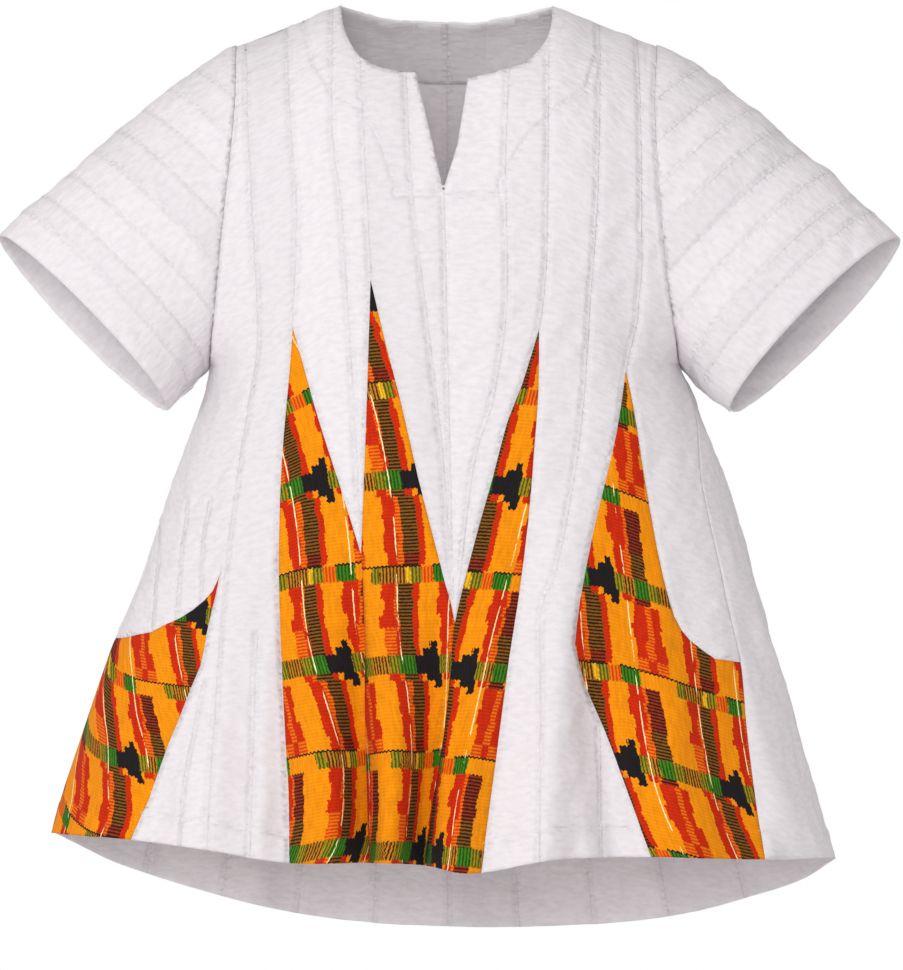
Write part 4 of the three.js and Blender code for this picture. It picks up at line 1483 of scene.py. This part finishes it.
@dataclass(frozen=True)
class Crinkle:
    """How the cotton's surface stands out and in, in mm."""

    ripple: float = 0.6  # height of the cross crinkles
    ripple_width: float = 14.0
    ripple_length: float = 8.5
    fine_share: float = 0.45  # height of the finer crinkles over them, and how much finer they are
    finer: tuple[float, float] = (2.1, 1.9)
    swell: float = 1.5  # height of the broad, soft unevenness
    swell_size: float = 62.0
    crease: float = 1.0  # height of the soft slanting creases
    crease_size: tuple[float, float] = (11.0, 38.0)
    crease_slope: float = 34.0  # of the creases against the cloth's length, in degrees
    drape: float = 2.1  # height of the long, soft folds down the cloth
    drape_size: tuple[float, float] = (27.0, 150.0)
    seam_depth: float = 0.35
    seam_width: float = 2.6
    pucker: float = 0.75  # height of the gathers along a row of stitches
    pucker_length: float = 4.4
    pucker_width: float = 16.0
    pucker_reach: float = 7.0
    hem: float = 27.0  # height of the hems
    hem_step: float = 0.5
    allowance: float = 7.0  # width of the seam allowance inside the armholes
    allowance_step: float = 0.45
    facing_step: float = 0.5
    facing_groove: float = 1.6  # half the width of the groove along the facing's stitches
    step_width: float = 1.5  # a step in the cloth is this wide

    def apply(
        self, sheet: Sheet, seams: np.ndarray, edges: np.ndarray, seed: int, printed: np.ndarray | float = 0.0
    ) -> None:
        """Set a sheet's relief, and how far each vertex lies from a seam.

        Args:
            sheet: the sheet.
            seams: closely spaced points along its seams, in mm.
            edges: points along the edges where it meets another sheet.
            seed: a whole number that tells the sheets apart.
            printed: 1 for the vertices of smooth, printed cloth and 0 for the others.
        """
        to_seam = np.minimum(distance_to(sheet.place, seams), Sheet.SEAM_LIMIT_MM)
        to_edge = distance_to(sheet.place, edges)
        u, v = sheet.cloth[:, 0], sheet.cloth[:, 1]
        strip = np.round(sheet.strip).astype(np.int64) * 17 + seed
        ripple = noise(u / self.ripple_width, v / self.ripple_length, strip)
        fine_u, fine_v = u / self.ripple_width * self.finer[0], v / self.ripple_length * self.finer[1]
        ripple = ripple + self.fine_share * noise(fine_u, fine_v, strip + 5)
        calm = ease((to_seam + 1.0) / 5.0) * ease(to_edge / 6.0)
        swell = noise(u / self.swell_size, v / self.swell_size / 1.5, seed + 91)
        relief = ripple * self.ripple * calm * (1 - 0.75 * printed)
        relief += swell * self.swell * ease(to_edge / 40.0)
        slope = math.radians(self.crease_slope)
        across_crease = (u * math.cos(slope) + v * math.sin(slope)) / self.crease_size[0]
        along_crease = (v * math.cos(slope) - u * math.sin(slope)) / self.crease_size[1]
        crease = noise(across_crease, along_crease, seed + 33)
        relief += crease * self.crease * ease(to_edge / 14.0) * (0.35 + 0.65 * calm) * (1 - 0.7 * printed)
        drape = noise(u / self.drape_size[0], v / self.drape_size[1], seed + 7)
        relief += drape * self.drape * ease(to_edge / 30.0)
        relief -= self.seam_depth * np.exp(-((to_seam / self.seam_width) ** 2))
        sheet.relief = sheet.relief + relief
        sheet.seam = np.minimum(sheet.seam, to_seam)
        self.gather(sheet, seams, seed, 1 - 0.6 * printed)

    def gather(self, sheet: Sheet, line: np.ndarray, seed: int, share: np.ndarray | float = 1.0) -> None:
        """Gather the cloth a little along rows of stitches.

        Args:
            sheet: the sheet.
            line: closely spaced points along the rows, in mm.
            seed: a whole number that tells the rows apart.
            share: of the full height, one number or one for each vertex.
        """
        index, away = nearest(sheet.place, line)
        run = np.concatenate([[0.0], np.cumsum(np.linalg.norm(np.diff(line, axis=0), axis=1))])
        height = noise(run[index] / self.pucker_length, away / self.pucker_width, seed + 71)
        height = height * np.exp(-((away / self.pucker_reach) ** 2)) * ease((away + 1.2) / 3.0)
        sheet.relief = sheet.relief + self.pucker * height * share
        sheet.seam = np.minimum(sheet.seam, away + CrinkledCotton.seam_mm)

    def _raised(self, inwards: np.ndarray) -> np.ndarray:
        """Return the share of a step at places so far within its edge, in mm."""
        return ease(inwards / self.step_width + 0.5)

    def raise_edge(self, sheet: Sheet, edge: np.ndarray) -> None:
        """Raise the strip along an edge under which the seam allowance lies.

        Args:
            sheet: the sheet.
            edge: closely spaced points along the edge, in mm.
        """
        sheet.relief += self.allowance_step * self._raised(self.allowance - distance_to(sheet.place, edge))

    def raise_hem(self, sheet: Sheet, from_hem: np.ndarray, height: float | None = None) -> None:
        """Raise the turned-up hem, whose height is in mm where it isn't the usual one."""
        sheet.relief += self.hem_step * self._raised((height or self.hem) - from_hem)

    def raise_facing(self, sheet: Sheet, within: np.ndarray) -> None:
        """Raise the cloth over a facing, told by how far within its outline each vertex lies, in mm."""
        sheet.relief += self.facing_step * ease(within / 2.0 + 0.5)
        sheet.relief -= self.facing_step * np.exp(-((within / self.facing_groove) ** 2))


def polyline_points(surface: BodySurface | SleeveSurface, lines: list[np.ndarray]) -> np.ndarray:
    """Return the points in space of lines in a surface's domain."""
    return np.vstack([surface.point(line) for line in lines])


def kept_runs(line: np.ndarray, keep: np.ndarray) -> list[np.ndarray]:
    """Return the runs of a line whose points are kept, each with the next point beyond its ends.

    Args:
        line: the line's points.
        keep: whether each is kept.

    Returns:
        The runs.
    """
    wide = keep | np.concatenate([keep[1:], [False]]) | np.concatenate([[False], keep[:-1]])
    runs, start = [], None
    for index, here in enumerate(np.append(wide, False)):
        if here and start is None:
            start = index
        if not here and start is not None:
            if index - start > 1:
                runs.append(line[start:index])
            start = None
    return runs


# ---------------------------------------------------------------- stitches


@dataclass
class Stitching:
    """Rows of machine stitches, all of one group joined into one piece.

    Attributes:
        name: the piece's name.
        finish: the thread's material.
        pitch: length of one stitch with its gap, in mm.
        length: length of the thread that shows, in mm.
        radius: half the thread's thickness, in mm.
        tack_pitch: distance of a bar tack's threads, in mm.
        tack_lift: how far they stand above the cloth, in mm.
    """

    name: str
    finish: Material
    pitch: float = 2.9
    length: float = 2.3
    radius: float = 0.3
    tack_pitch: float = 0.4
    tack_lift: float = 0.2

    def __post_init__(self) -> None:
        """Start with no stitches."""
        self.corners: list[np.ndarray] = []
        self.faces: list[np.ndarray] = []
        self.count = 0

    def along(self, sheet: Sheet, line: np.ndarray) -> None:
        """Lay a row of stitches on a sheet along a line in its domain.

        Args:
            sheet: the sheet.
            line: the line's points.
        """
        if len(line) < 2:
            return
        fine = resample(line, 1.0)
        steps = np.linalg.norm(np.diff(sheet.surface.point(fine), axis=0), axis=1)
        run = np.concatenate([[0], np.cumsum(steps)])
        count = int(run[-1] / self.pitch)
        if count < 1:
            return
        middles = (np.arange(count) + 0.5) * self.pitch
        start, finish = (
            np.stack([np.interp(middles + shift, run, fine[:, axis]) for axis in (0, 1)], axis=1)
            for shift in (-self.length / 2, self.length / 2)
        )
        out = sheet.surface.outward(start)
        start, finish = sheet.surface.point(start), sheet.surface.point(finish)
        lift = out * sheet.relief[nearest(start, sheet.place)[0]][:, None]
        self._spindles(start + lift, finish + lift, out)

    def _spindles(self, start: np.ndarray, finish: np.ndarray, out: np.ndarray) -> None:
        """Add one eight-sided spindle for each stitch.

        Args:
            start: where the threads come up, in mm.
            finish: where they go down.
            out: the directions out of the cloth.
        """
        middle = (start + finish) / 2
        rise = out * self.radius
        wide = unit(np.cross(finish - start, out)) * self.radius
        ring = [middle + rise * 1.4, middle + wide, middle - rise, middle - wide]
        corners = np.stack([start, *ring, finish], axis=1)
        first = [(0, 1 + i, 1 + (i + 1) % 4) for i in range(4)]
        second = [(5, 1 + (i + 1) % 4, 1 + i) for i in range(4)]
        faces = np.array(first + second)[None] + (self.count + 6 * np.arange(len(start)))[:, None, None]
        self.corners.append(corners.reshape(-1, 3))
        self.faces.append(faces.reshape(-1, 3))
        self.count += 6 * len(start)

    def bar(self, sheet: Sheet, at: np.ndarray, width: float = 3.4, rows: int = 5) -> None:
        """Add a bar tack: short threads laid close together across one place.

        Args:
            sheet: the sheet that it is sewn to.
            at: the place in the sheet's domain.
            width: its width in mm.
            rows: how many threads it has.
        """
        for row in range(rows):
            ends = at + np.array([[-width / 2, self.tack_pitch * row], [width / 2, self.tack_pitch * row]])
            out = sheet.surface.outward(ends)
            places = sheet.surface.point(ends) + out * self.tack_lift
            self._spindles(places[:1], places[1:], out[:1])

    def build(self) -> None:
        """Make the piece and let it ride on the smock."""
        mesh = bpy.data.meshes.new(self.name)
        faces = np.vstack(self.faces)
        mesh.from_pydata((np.vstack(self.corners) * MM).tolist(), [], faces.tolist())
        piece = new_object(self.name, mesh)
        mesh.materials.append(self.finish)
        mesh.update()
        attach(piece, ROOT)
        log.info("%s: %d triangles", self.name, len(faces))


# ---------------------------------------------------------------- pieces


@dataclass
class Front:
    """The front: the white panel and its five gores, divided together so that their edges meet.

    Attributes:
        body: the smock's form.
        finishes: its materials.
        across: spacing of the vertices across the strips, in mm.
        down: and along them.
        groove: distance of the rows of vertices beside the strips' seams, in mm.
        band: width of the band sewn along the neck, in mm.
        clear: least distance of the loose vertices from the lines, in mm.
    """

    body: Body
    finishes: Finishes
    across: float = 4.3
    down: float = 2.75
    groove: float = 1.7
    band: float = 8.0
    clear: float = 1.45

    def lines(self, surface: BodySurface) -> dict[str, list[np.ndarray]]:
        """Return the lines that the sheet's edges follow, in its domain, under the names of what they are.

        Args:
            surface: the front's surface.

        Returns:
            The lines of each kind.
        """
        turn_mm, level_mm = Body.TURN_MM, Body.LEVEL_MM
        right = surface.side_line(-1)
        left = surface.side_line(self.body.left_seam_turn(surface.LEVELS))
        top = np.stack([np.linspace(-turn_mm, turn_mm, 200), np.zeros(200)], axis=1)
        foot = np.stack([np.linspace(-turn_mm, left[-1, 0], 240), np.full(240, level_mm)], axis=1)
        named = {
            "edge": [right, left, top, foot],
            "hem": [surface.hem_line(foot), surface.hem_line(foot, 1.6)],
            "neck": [self._placed(neck_edge())],
            "facing": [self._placed(np.array(FACING, float))],
            "strip": [self._placed(spline(list(seam.line), 3)) for seam in FRONT_SEAMS],
            "gore": [],
        }
        for gore in GORES:
            for edge in gore.edges():
                fine = resample(edge, LINE_STEP)
                near = np.abs(fine[:, 0]) < self.body.width(fine[:, 0], fine[:, 1])
                placed = self.body.locate(fine)
                named["gore"] += kept_runs(placed, near & (placed[:, 1] <= level_mm))
        return named

    def _placed(self, line: np.ndarray) -> np.ndarray:
        """Return a line seen from the front as closely spaced points in the domain."""
        placed = self.body.locate(resample(line, LINE_STEP))
        return placed[placed[:, 1] <= Body.LEVEL_MM]

    def build(self) -> None:
        """Make the front panel, the gores and their stitches."""
        surface = BodySurface(self.body, back=False)
        named = self.lines(surface)
        turn_mm, level_mm = Body.TURN_MM, Body.LEVEL_MM
        loose = hex_grid(np.array([-turn_mm, 0]), np.array([1.3 * turn_mm, level_mm]), self.across, self.down)
        inner = (loose[:, 1] > 1) & (loose[:, 1] < level_mm - 1) & (loose[:, 0] > 1 - turn_mm)
        rows = [beside(line, away) for line in named["strip"] for away in (self.groove, -self.groove)]
        lines = [line for group in named.values() for line in group]
        at, triangles = triangulate(np.vstack([loose[inner]] + rows), lines, self.clear)
        turn, level = surface.split(at[triangles].mean(axis=1))
        seen = self.body.point(turn, level)[:, [0, 2]]
        whole = (turn > -1) & (turn < self.body.left_seam_turn(level)) & (level > 0) & (level < 1)
        half_neck = Body.NECK_WIDTH / 2
        whole &= ~inside(seen, np.vstack([[(-half_neck, ABOVE_ALL)], neck_edge(), [(half_neck, ABOVE_ALL)]]))
        gore_of = np.full(len(triangles), -1)
        for index, gore in enumerate(GORES):
            gore_of[whole & inside(seen, gore.outline())] = index
        printed = np.zeros(len(at))
        printed[np.unique(triangles[gore_of >= 0])] = 1
        sheet = Sheet(surface, at, triangles)
        sheet.strip = front_strips(sheet.place[:, [0, 2]])
        self._raise(sheet, named, printed)
        own_strip = front_strips(seen)
        cotton, kente = self.finishes.cotton, self.finishes.kente
        sheet.build(Cut("front_panel", whole & (gore_of < 0), cotton, WHITE_SLOT, (0.86, 0.78)), own_strip)
        for index, gore in enumerate(GORES):
            self._lay_print(sheet, gore, gore_of == index)
            sheet.build(Cut(gore.name, gore_of == index, kente, PRINT_SLOT, gore.flat), own_strip)
        self._sew(sheet, named)

    def _raise(self, sheet: Sheet, named: dict[str, list[np.ndarray]], printed: np.ndarray) -> None:
        """Give the sheet its relief.

        Args:
            sheet: the sheet.
            named: the lines that its edges follow.
            printed: 1 for the vertices of the gores and 0 for the others.
        """
        crinkle = Crinkle()
        right, left, top, _ = named["edge"]
        seams = polyline_points(sheet.surface, named["strip"] + named["gore"])
        armholes = polyline_points(sheet.surface, [edge[sheet.surface.ARMHOLE] for edge in (right, left)])
        sides = polyline_points(sheet.surface, [right, left, top])
        crinkle.apply(sheet, seams, sides, seed=3, printed=printed)
        crinkle.raise_edge(sheet, armholes)
        crinkle.raise_hem(sheet, sheet.surface.above_hem(sheet.at))
        crinkle.raise_facing(sheet, self._signed_distance(sheet.place[:, [0, 2]], np.array(FACING, float)))
        facing, neck, hem = (
            polyline_points(sheet.surface, named[name][:1]) for name in ("facing", "neck", "hem")
        )
        crinkle.gather(sheet, facing, seed=5)
        crinkle.gather(sheet, neck, seed=6, share=0.6)
        crinkle.gather(sheet, hem, seed=7, share=0.8 - 0.5 * printed)
        crinkle.gather(sheet, armholes, seed=8, share=0.7)

    @staticmethod
    def _signed_distance(places: np.ndarray, line: np.ndarray) -> np.ndarray:
        """Return how far places lie inside a line closed at its top, in mm, and less than 0 outside.

        Args:
            places: x and z in mm, one row each.
            line: the line's points.

        Returns:
            The distances.
        """
        closed = np.vstack([line, [(line[-1, 0], ABOVE_ALL), (line[0, 0], ABOVE_ALL)]])
        within = np.full(len(places), -20.0)
        near = (np.abs(places[:, 0]) < 160) & (places[:, 1] > -210)
        away = distance_to(places[near], resample(line, 1.0))
        within[near] = np.where(inside(places[near], closed), away, -away)
        return within

    @staticmethod
    def _lay_print(sheet: Sheet, gore: Gore, triangles: np.ndarray) -> None:
        """Lay the flat cloth's map under one gore, so that its print lies as it should.

        Args:
            sheet: the front's sheet.
            gore: the gore.
            triangles: whether each of the sheet's triangles is part of it.
        """
        used = np.unique(sheet.triangles[triangles])
        lean = math.radians(gore.tilt)
        u, v = sheet.surface.cloth(sheet.at[used]).T
        if gore.centred:
            u = u - np.polyval(np.polyfit(v, u, 2), v)
        across = u * math.cos(lean) - v * math.sin(lean)
        down = u * math.sin(lean) + v * math.cos(lean)
        sheet.cloth[used] = np.stack([across, down], axis=1) + np.array(gore.shift)

    def _sew(self, sheet: Sheet, named: dict[str, list[np.ndarray]]) -> None:
        """Add the rows of stitches that show on the front.

        Args:
            sheet: the front's sheet.
            named: the lines that its edges follow.
        """
        thread = self.finishes.thread
        edging = Stitching("stitches_front", thread)
        seen = sheet.surface.point(named["hem"][0])
        printed = np.zeros(len(seen), bool)
        for gore in GORES:
            printed |= inside(seen[:, [0, 2]], gore.outline())
        for run in kept_runs(named["hem"][0], ~printed):
            edging.along(sheet, run)
        edging.along(sheet, named["facing"][0])
        fine = resample(neck_edge(), 1.5)
        band = beside(fine, -self.band)
        for run in kept_runs(band, distance_to(band, fine) > 0.9 * self.band):
            edging.along(sheet, self.body.locate(run))
        edging.build()
        # painted shade: the bar tack's grey thread stands in for the shade at the foot of the slit
        tack = Stitching("bar_tack", self.finishes.shade_tack_thread)
        tack.bar(sheet, self.body.locate(np.array([SLIT_FOOT]))[0])
        tack.build()


@dataclass
class Back:
    """The back panel and the facing inside its neck, with the same attributes as the front."""

    body: Body
    finishes: Finishes
    across: float = 5.2
    down: float = 3.4
    clear: float = 1.8

    def build(self) -> None:
        """Make both pieces and their stitches."""
        surface = BodySurface(self.body, back=True)
        turn_mm, level_mm = Body.TURN_MM, Body.LEVEL_MM
        levels = surface.LEVELS
        start = np.where(levels <= Body.ARMPIT_LEVEL, 1.00001, self.body.left_seam_turn(levels))
        left, right = surface.side_line(start), surface.side_line(3)
        top = np.stack([np.linspace(1.00001, 3, 200) * turn_mm, np.zeros(200)], axis=1)
        foot = np.stack([np.linspace(left[-1, 0], 3 * turn_mm, 240), np.full(240, level_mm)], axis=1)
        hem = surface.hem_line(foot)
        fine = np.linspace(0.0, 1.0, 260)
        seam_turns = [2 - 2 / math.pi * np.arcsin(share) for share in BACK_SEAM_SHARES]
        strips = [np.stack([turn * np.ones(260) * turn_mm, fine * level_mm], axis=1) for turn in seam_turns]
        facing = self._placed(resample(np.array(BACK_FACING, float), LINE_STEP))
        low, high = np.array([0.7 * turn_mm, 0]), np.array([3 * turn_mm, level_mm])
        loose = hex_grid(low, high, self.across, self.down)
        inner = (loose[:, 1] > 1) & (loose[:, 1] < level_mm - 1) & (loose[:, 0] < 3 * turn_mm - 1)
        lines = [left, right, top, foot, hem, self._neck_line(), *facing, *strips]
        at, triangles = triangulate(loose[inner], lines, self.clear)
        turn, level = surface.split(at[triangles].mean(axis=1))
        seen = self.body.point(turn, level)[:, [0, 2]]
        start = np.where(level <= Body.ARMPIT_LEVEL, 1.0, self.body.left_seam_turn(level))
        whole = (turn > start) & (turn < 3) & (level > 0) & (level < 1)
        above_neck = seen[:, 1] > self._neck_height(seen[:, 0])
        whole &= ~((np.abs(seen[:, 0]) < Body.NECK_WIDTH / 2) & above_neck & (level < 0.1))
        sheet = Sheet(surface, at, triangles)
        strip = np.digitize(turn, sorted(seam_turns)).astype(float)
        sheet.strip = np.digitize(at[:, 0] / turn_mm, sorted(seam_turns)).astype(float)
        sides = polyline_points(surface, [left, right, top])
        crinkle = Crinkle()
        crinkle.apply(sheet, polyline_points(surface, strips), sides, seed=40)
        crinkle.raise_edge(sheet, polyline_points(surface, [left[surface.ARMHOLE], right[surface.ARMHOLE]]))
        crinkle.raise_hem(sheet, surface.above_hem(at))
        cotton = self.finishes.cotton
        sheet.build(Cut("back_panel", whole, cotton, WHITE_SLOT, (0.98, 0.83)), strip)
        lined = whole & inside(seen, np.array(BACK_FACING, float)) & (level < 0.2)
        from_middle = np.minimum(np.abs(sheet.place[:, 0]), Sheet.SEAM_LIMIT_MM)
        facing_cut = Cut(
            "back_neck_facing", lined, cotton, WHITE_SLOT, (0.29, 0.09),
            thickness=0.7, inset=1.5, seams=from_middle,
        )
        sheet.build(facing_cut, strip)
        stitches = Stitching("stitches_back", self.finishes.thread)
        stitches.along(sheet, hem)
        for line in facing:
            stitches.along(sheet, line)
        stitches.build()

    @staticmethod
    def _neck_height(x: np.ndarray) -> np.ndarray:
        """Return the height of the back neck's edge at x."""
        return -11.0 * np.maximum(0, np.cos(math.pi * x / Body.NECK_WIDTH)) ** 1.2

    def _placed(self, line: np.ndarray) -> list[np.ndarray]:
        """Return the runs of a line seen from the front as points in the back's domain."""
        placed = self.body.locate(line, self.body.back_hem)
        placed[:, 0] = 2 * Body.TURN_MM - placed[:, 0]
        return kept_runs(placed, placed[:, 1] > 0.5)

    def _neck_line(self) -> np.ndarray:
        """Return the neck's edge in the back's domain."""
        x = np.linspace(-92.9, 92.9, 90)
        placed = self.body.locate(np.stack([x, self._neck_height(x)], axis=1), self.body.back_hem)
        placed[:, 0] = 2 * Body.TURN_MM - placed[:, 0]
        return placed


@dataclass
class Sleeve:
    """One short, flared sleeve, its strips sewn together round the arm.

    Attributes:
        body: the smock's form.
        finishes: its materials.
        form: the sleeve's cuff.
        strip: width of a strip, in mm.
        first: distance of the first seam from the cuff's edge, in mm.
        cuff: height of the cuff's hem, in mm.
        across: spacing of the vertices across the strips, in mm.
        down: and along them.
        clear: least distance of the loose vertices from the lines, in mm.
    """

    body: Body
    finishes: Finishes
    form: SleeveForm
    strip: float = 29.0
    first: float = 51.0
    cuff: float = 30.0
    across: float = 4.2
    down: float = 3.0
    clear: float = 1.5

    def build(self) -> None:
        """Make the sleeve and its stitches."""
        surface = SleeveSurface(self.body, self.form)
        reach = math.pi * surface.ROUND_MM
        angles = np.linspace(-math.pi, math.pi, 260)
        length = surface.length(angles)
        armhole = np.stack([angles * surface.ROUND_MM, length], axis=1)
        cuff = np.stack([angles * surface.ROUND_MM, np.zeros(260)], axis=1)
        ends = [np.array([[x, 0.0], [x, length[0]]]) for x in (-reach, reach)]
        lines = [armhole, cuff] + [resample(end, LINE_STEP) for end in ends]
        rows = [self.cuff] + [self.first + self.strip * i for i in range(7)]
        rows = [row for row in rows if row < length.max() - 4]
        seams = []
        for row in rows:
            line = np.stack([angles * surface.ROUND_MM, np.full(260, row)], axis=1)
            seams += kept_runs(line, length > row + 1)
        loose = hex_grid(np.array([-reach, 0]), np.array([reach, length.max()]), self.down, self.across)
        inner = (np.abs(loose[:, 0]) < reach - 1) & (loose[:, 1] > 1)
        at, triangles = triangulate(loose[inner], lines + seams, self.clear)
        centre = at[triangles].mean(axis=1)
        whole = (np.abs(centre[:, 0]) < reach) & (centre[:, 1] > 0)
        whole &= centre[:, 1] < surface.length(centre[:, 0] / surface.ROUND_MM)
        if self.form.side > 0:
            triangles = triangles[:, ::-1]
        sheet = Sheet(surface, at, triangles)
        sheet.strip = np.digitize(at[:, 1], rows).astype(float)
        edges = polyline_points(surface, [armhole])
        crinkle = Crinkle()
        crinkle.apply(sheet, polyline_points(surface, seams), edges, seed=60 + self.form.side)
        from_top = np.abs(at[:, 0]) / surface.ROUND_MM
        sheet.seam += self.form.worn_seams + 1.2 * ease((from_top - 0.9) / 1.0)
        crinkle.raise_hem(sheet, at[:, 1], self.cuff)
        crinkle.gather(sheet, edges, seed=66 + self.form.side, share=0.7)
        strip = np.digitize(centre[:, 1], rows).astype(float)
        sheet.build(Cut(self.form.name, whole, self.finishes.cotton, WHITE_SLOT, (0.60, 0.24)), strip)
        stitches = Stitching(f"stitches_{self.form.name}", self.finishes.thread)
        stitches.along(sheet, seams[0] - np.array([0.0, 1.0]))
        stitches.build()


# ---------------------------------------------------------------- studio


@dataclass(frozen=True)
class Studio:
    """A pale, soft studio and a camera in front of the smock, a little below its middle."""

    distance: float = 6.0
    frame_share: float = 0.8536  # metres across the long side of the picture, at that distance
    target: tuple[float, float, float] = (0.004, 0.0, -0.4233)
    elevation: float = -3.0
    world: float = 0.7
    key: float = 60.0
    fill: float = 84.0
    floor_radius: float = 12.0
    floor_height: float = -1.4

    def build(self) -> None:
        """Make the camera, the lights, the world and the floor."""
        self._camera()
        self._world()
        self._light("key_light", (-3.2, -3.5, 0.6), 2.0, self.key)
        self._light("fill_light", (-0.2, -5.2, -0.15), 1.6, self.fill)
        self._floor()

    def _camera(self) -> None:
        """Make the camera."""
        camera = bpy.data.cameras.new("camera")
        camera.sensor_width = 36
        camera.lens = 36 * self.distance / self.frame_share
        made = new_object("camera", camera)
        lift = math.radians(self.elevation)
        away = Vector((0, -math.cos(lift), math.sin(lift))) * self.distance
        made.location = Vector(self.target) + away
        made.rotation_euler = (-away).to_track_quat("-Z", "Y").to_euler()
        bpy.context.scene.camera = made

    def _world(self) -> None:
        """Light the smock evenly from all round, in front of a white backdrop."""
        world = bpy.data.worlds.new("studio")
        world.use_nodes = True
        world.node_tree.nodes.clear()
        pale = {"Color": linear("#FFFDFD"), "Strength": self.world}
        around = add_node(world, "ShaderNodeBackground", pale)
        seen = add_node(world, "ShaderNodeBackground", {"Color": (1.0, 1.0, 1.0, 1.0), "Strength": 1.0})
        path = add_node(world, "ShaderNodeLightPath")
        shares = {0: path.outputs["Is Camera Ray"], 1: around.outputs[0], 2: seen.outputs[0]}
        both = add_node(world, "ShaderNodeMixShader", shares)
        add_node(world, "ShaderNodeOutputWorld", {"Surface": both.outputs[0]})
        bpy.context.scene.world = world
        bpy.context.scene.view_settings.view_transform = "Standard"

    def _light(self, name: str, place: tuple[float, float, float], size: float, power: float) -> None:
        """Make a soft area light that looks at the smock.

        Args:
            name: its name.
            place: in metres.
            size: its width in metres.
            power: in watts.
        """
        light = bpy.data.lights.new(name, "AREA")
        light.shape = "DISK"
        light.size = size
        light.energy = power
        made = new_object(name, light)
        made.location = place
        made.rotation_euler = (Vector(self.target) - Vector(place)).to_track_quat("-Z", "Y").to_euler()

    def _floor(self) -> bpy.types.Object:
        """Make the pale floor below the smock."""
        angles = np.linspace(0, 2 * math.pi, 64, endpoint=False)
        reach, height = self.floor_radius, self.floor_height
        rim = [(reach * math.cos(angle), reach * math.sin(angle), height) for angle in angles]
        mesh = bpy.data.meshes.new("floor")
        mesh.from_pydata(rim, [], [tuple(range(len(rim)))])
        material, shader = new_material("studio_floor")
        shader.inputs["Base Color"].default_value = linear("#E9E9EA")
        shader.inputs["Roughness"].default_value = 0.8
        mesh.materials.append(material)
        return new_object("floor", mesh)


def main() -> None:
    """Build the smock piece by piece, then the studio."""
    body = Body()
    finishes = Finishes(
        CrinkledCotton().build(),
        KentePrint().build(),
        sewing_thread("sewing_thread", "#EFEDF2"),
        # painted shade: grey thread for the bar tack, standing in for the dark shade at the slit's foot
        sewing_thread("bar_tack_shade_thread", "#8E898B"),
    )
    log.info("materials made")
    Front(body, finishes).build()
    Back(body, finishes).build()
    for form in SLEEVES:
        Sleeve(body, finishes, form).build()
    Studio().build()
    log.info("studio made")


if __name__ == "__main__":
    main()
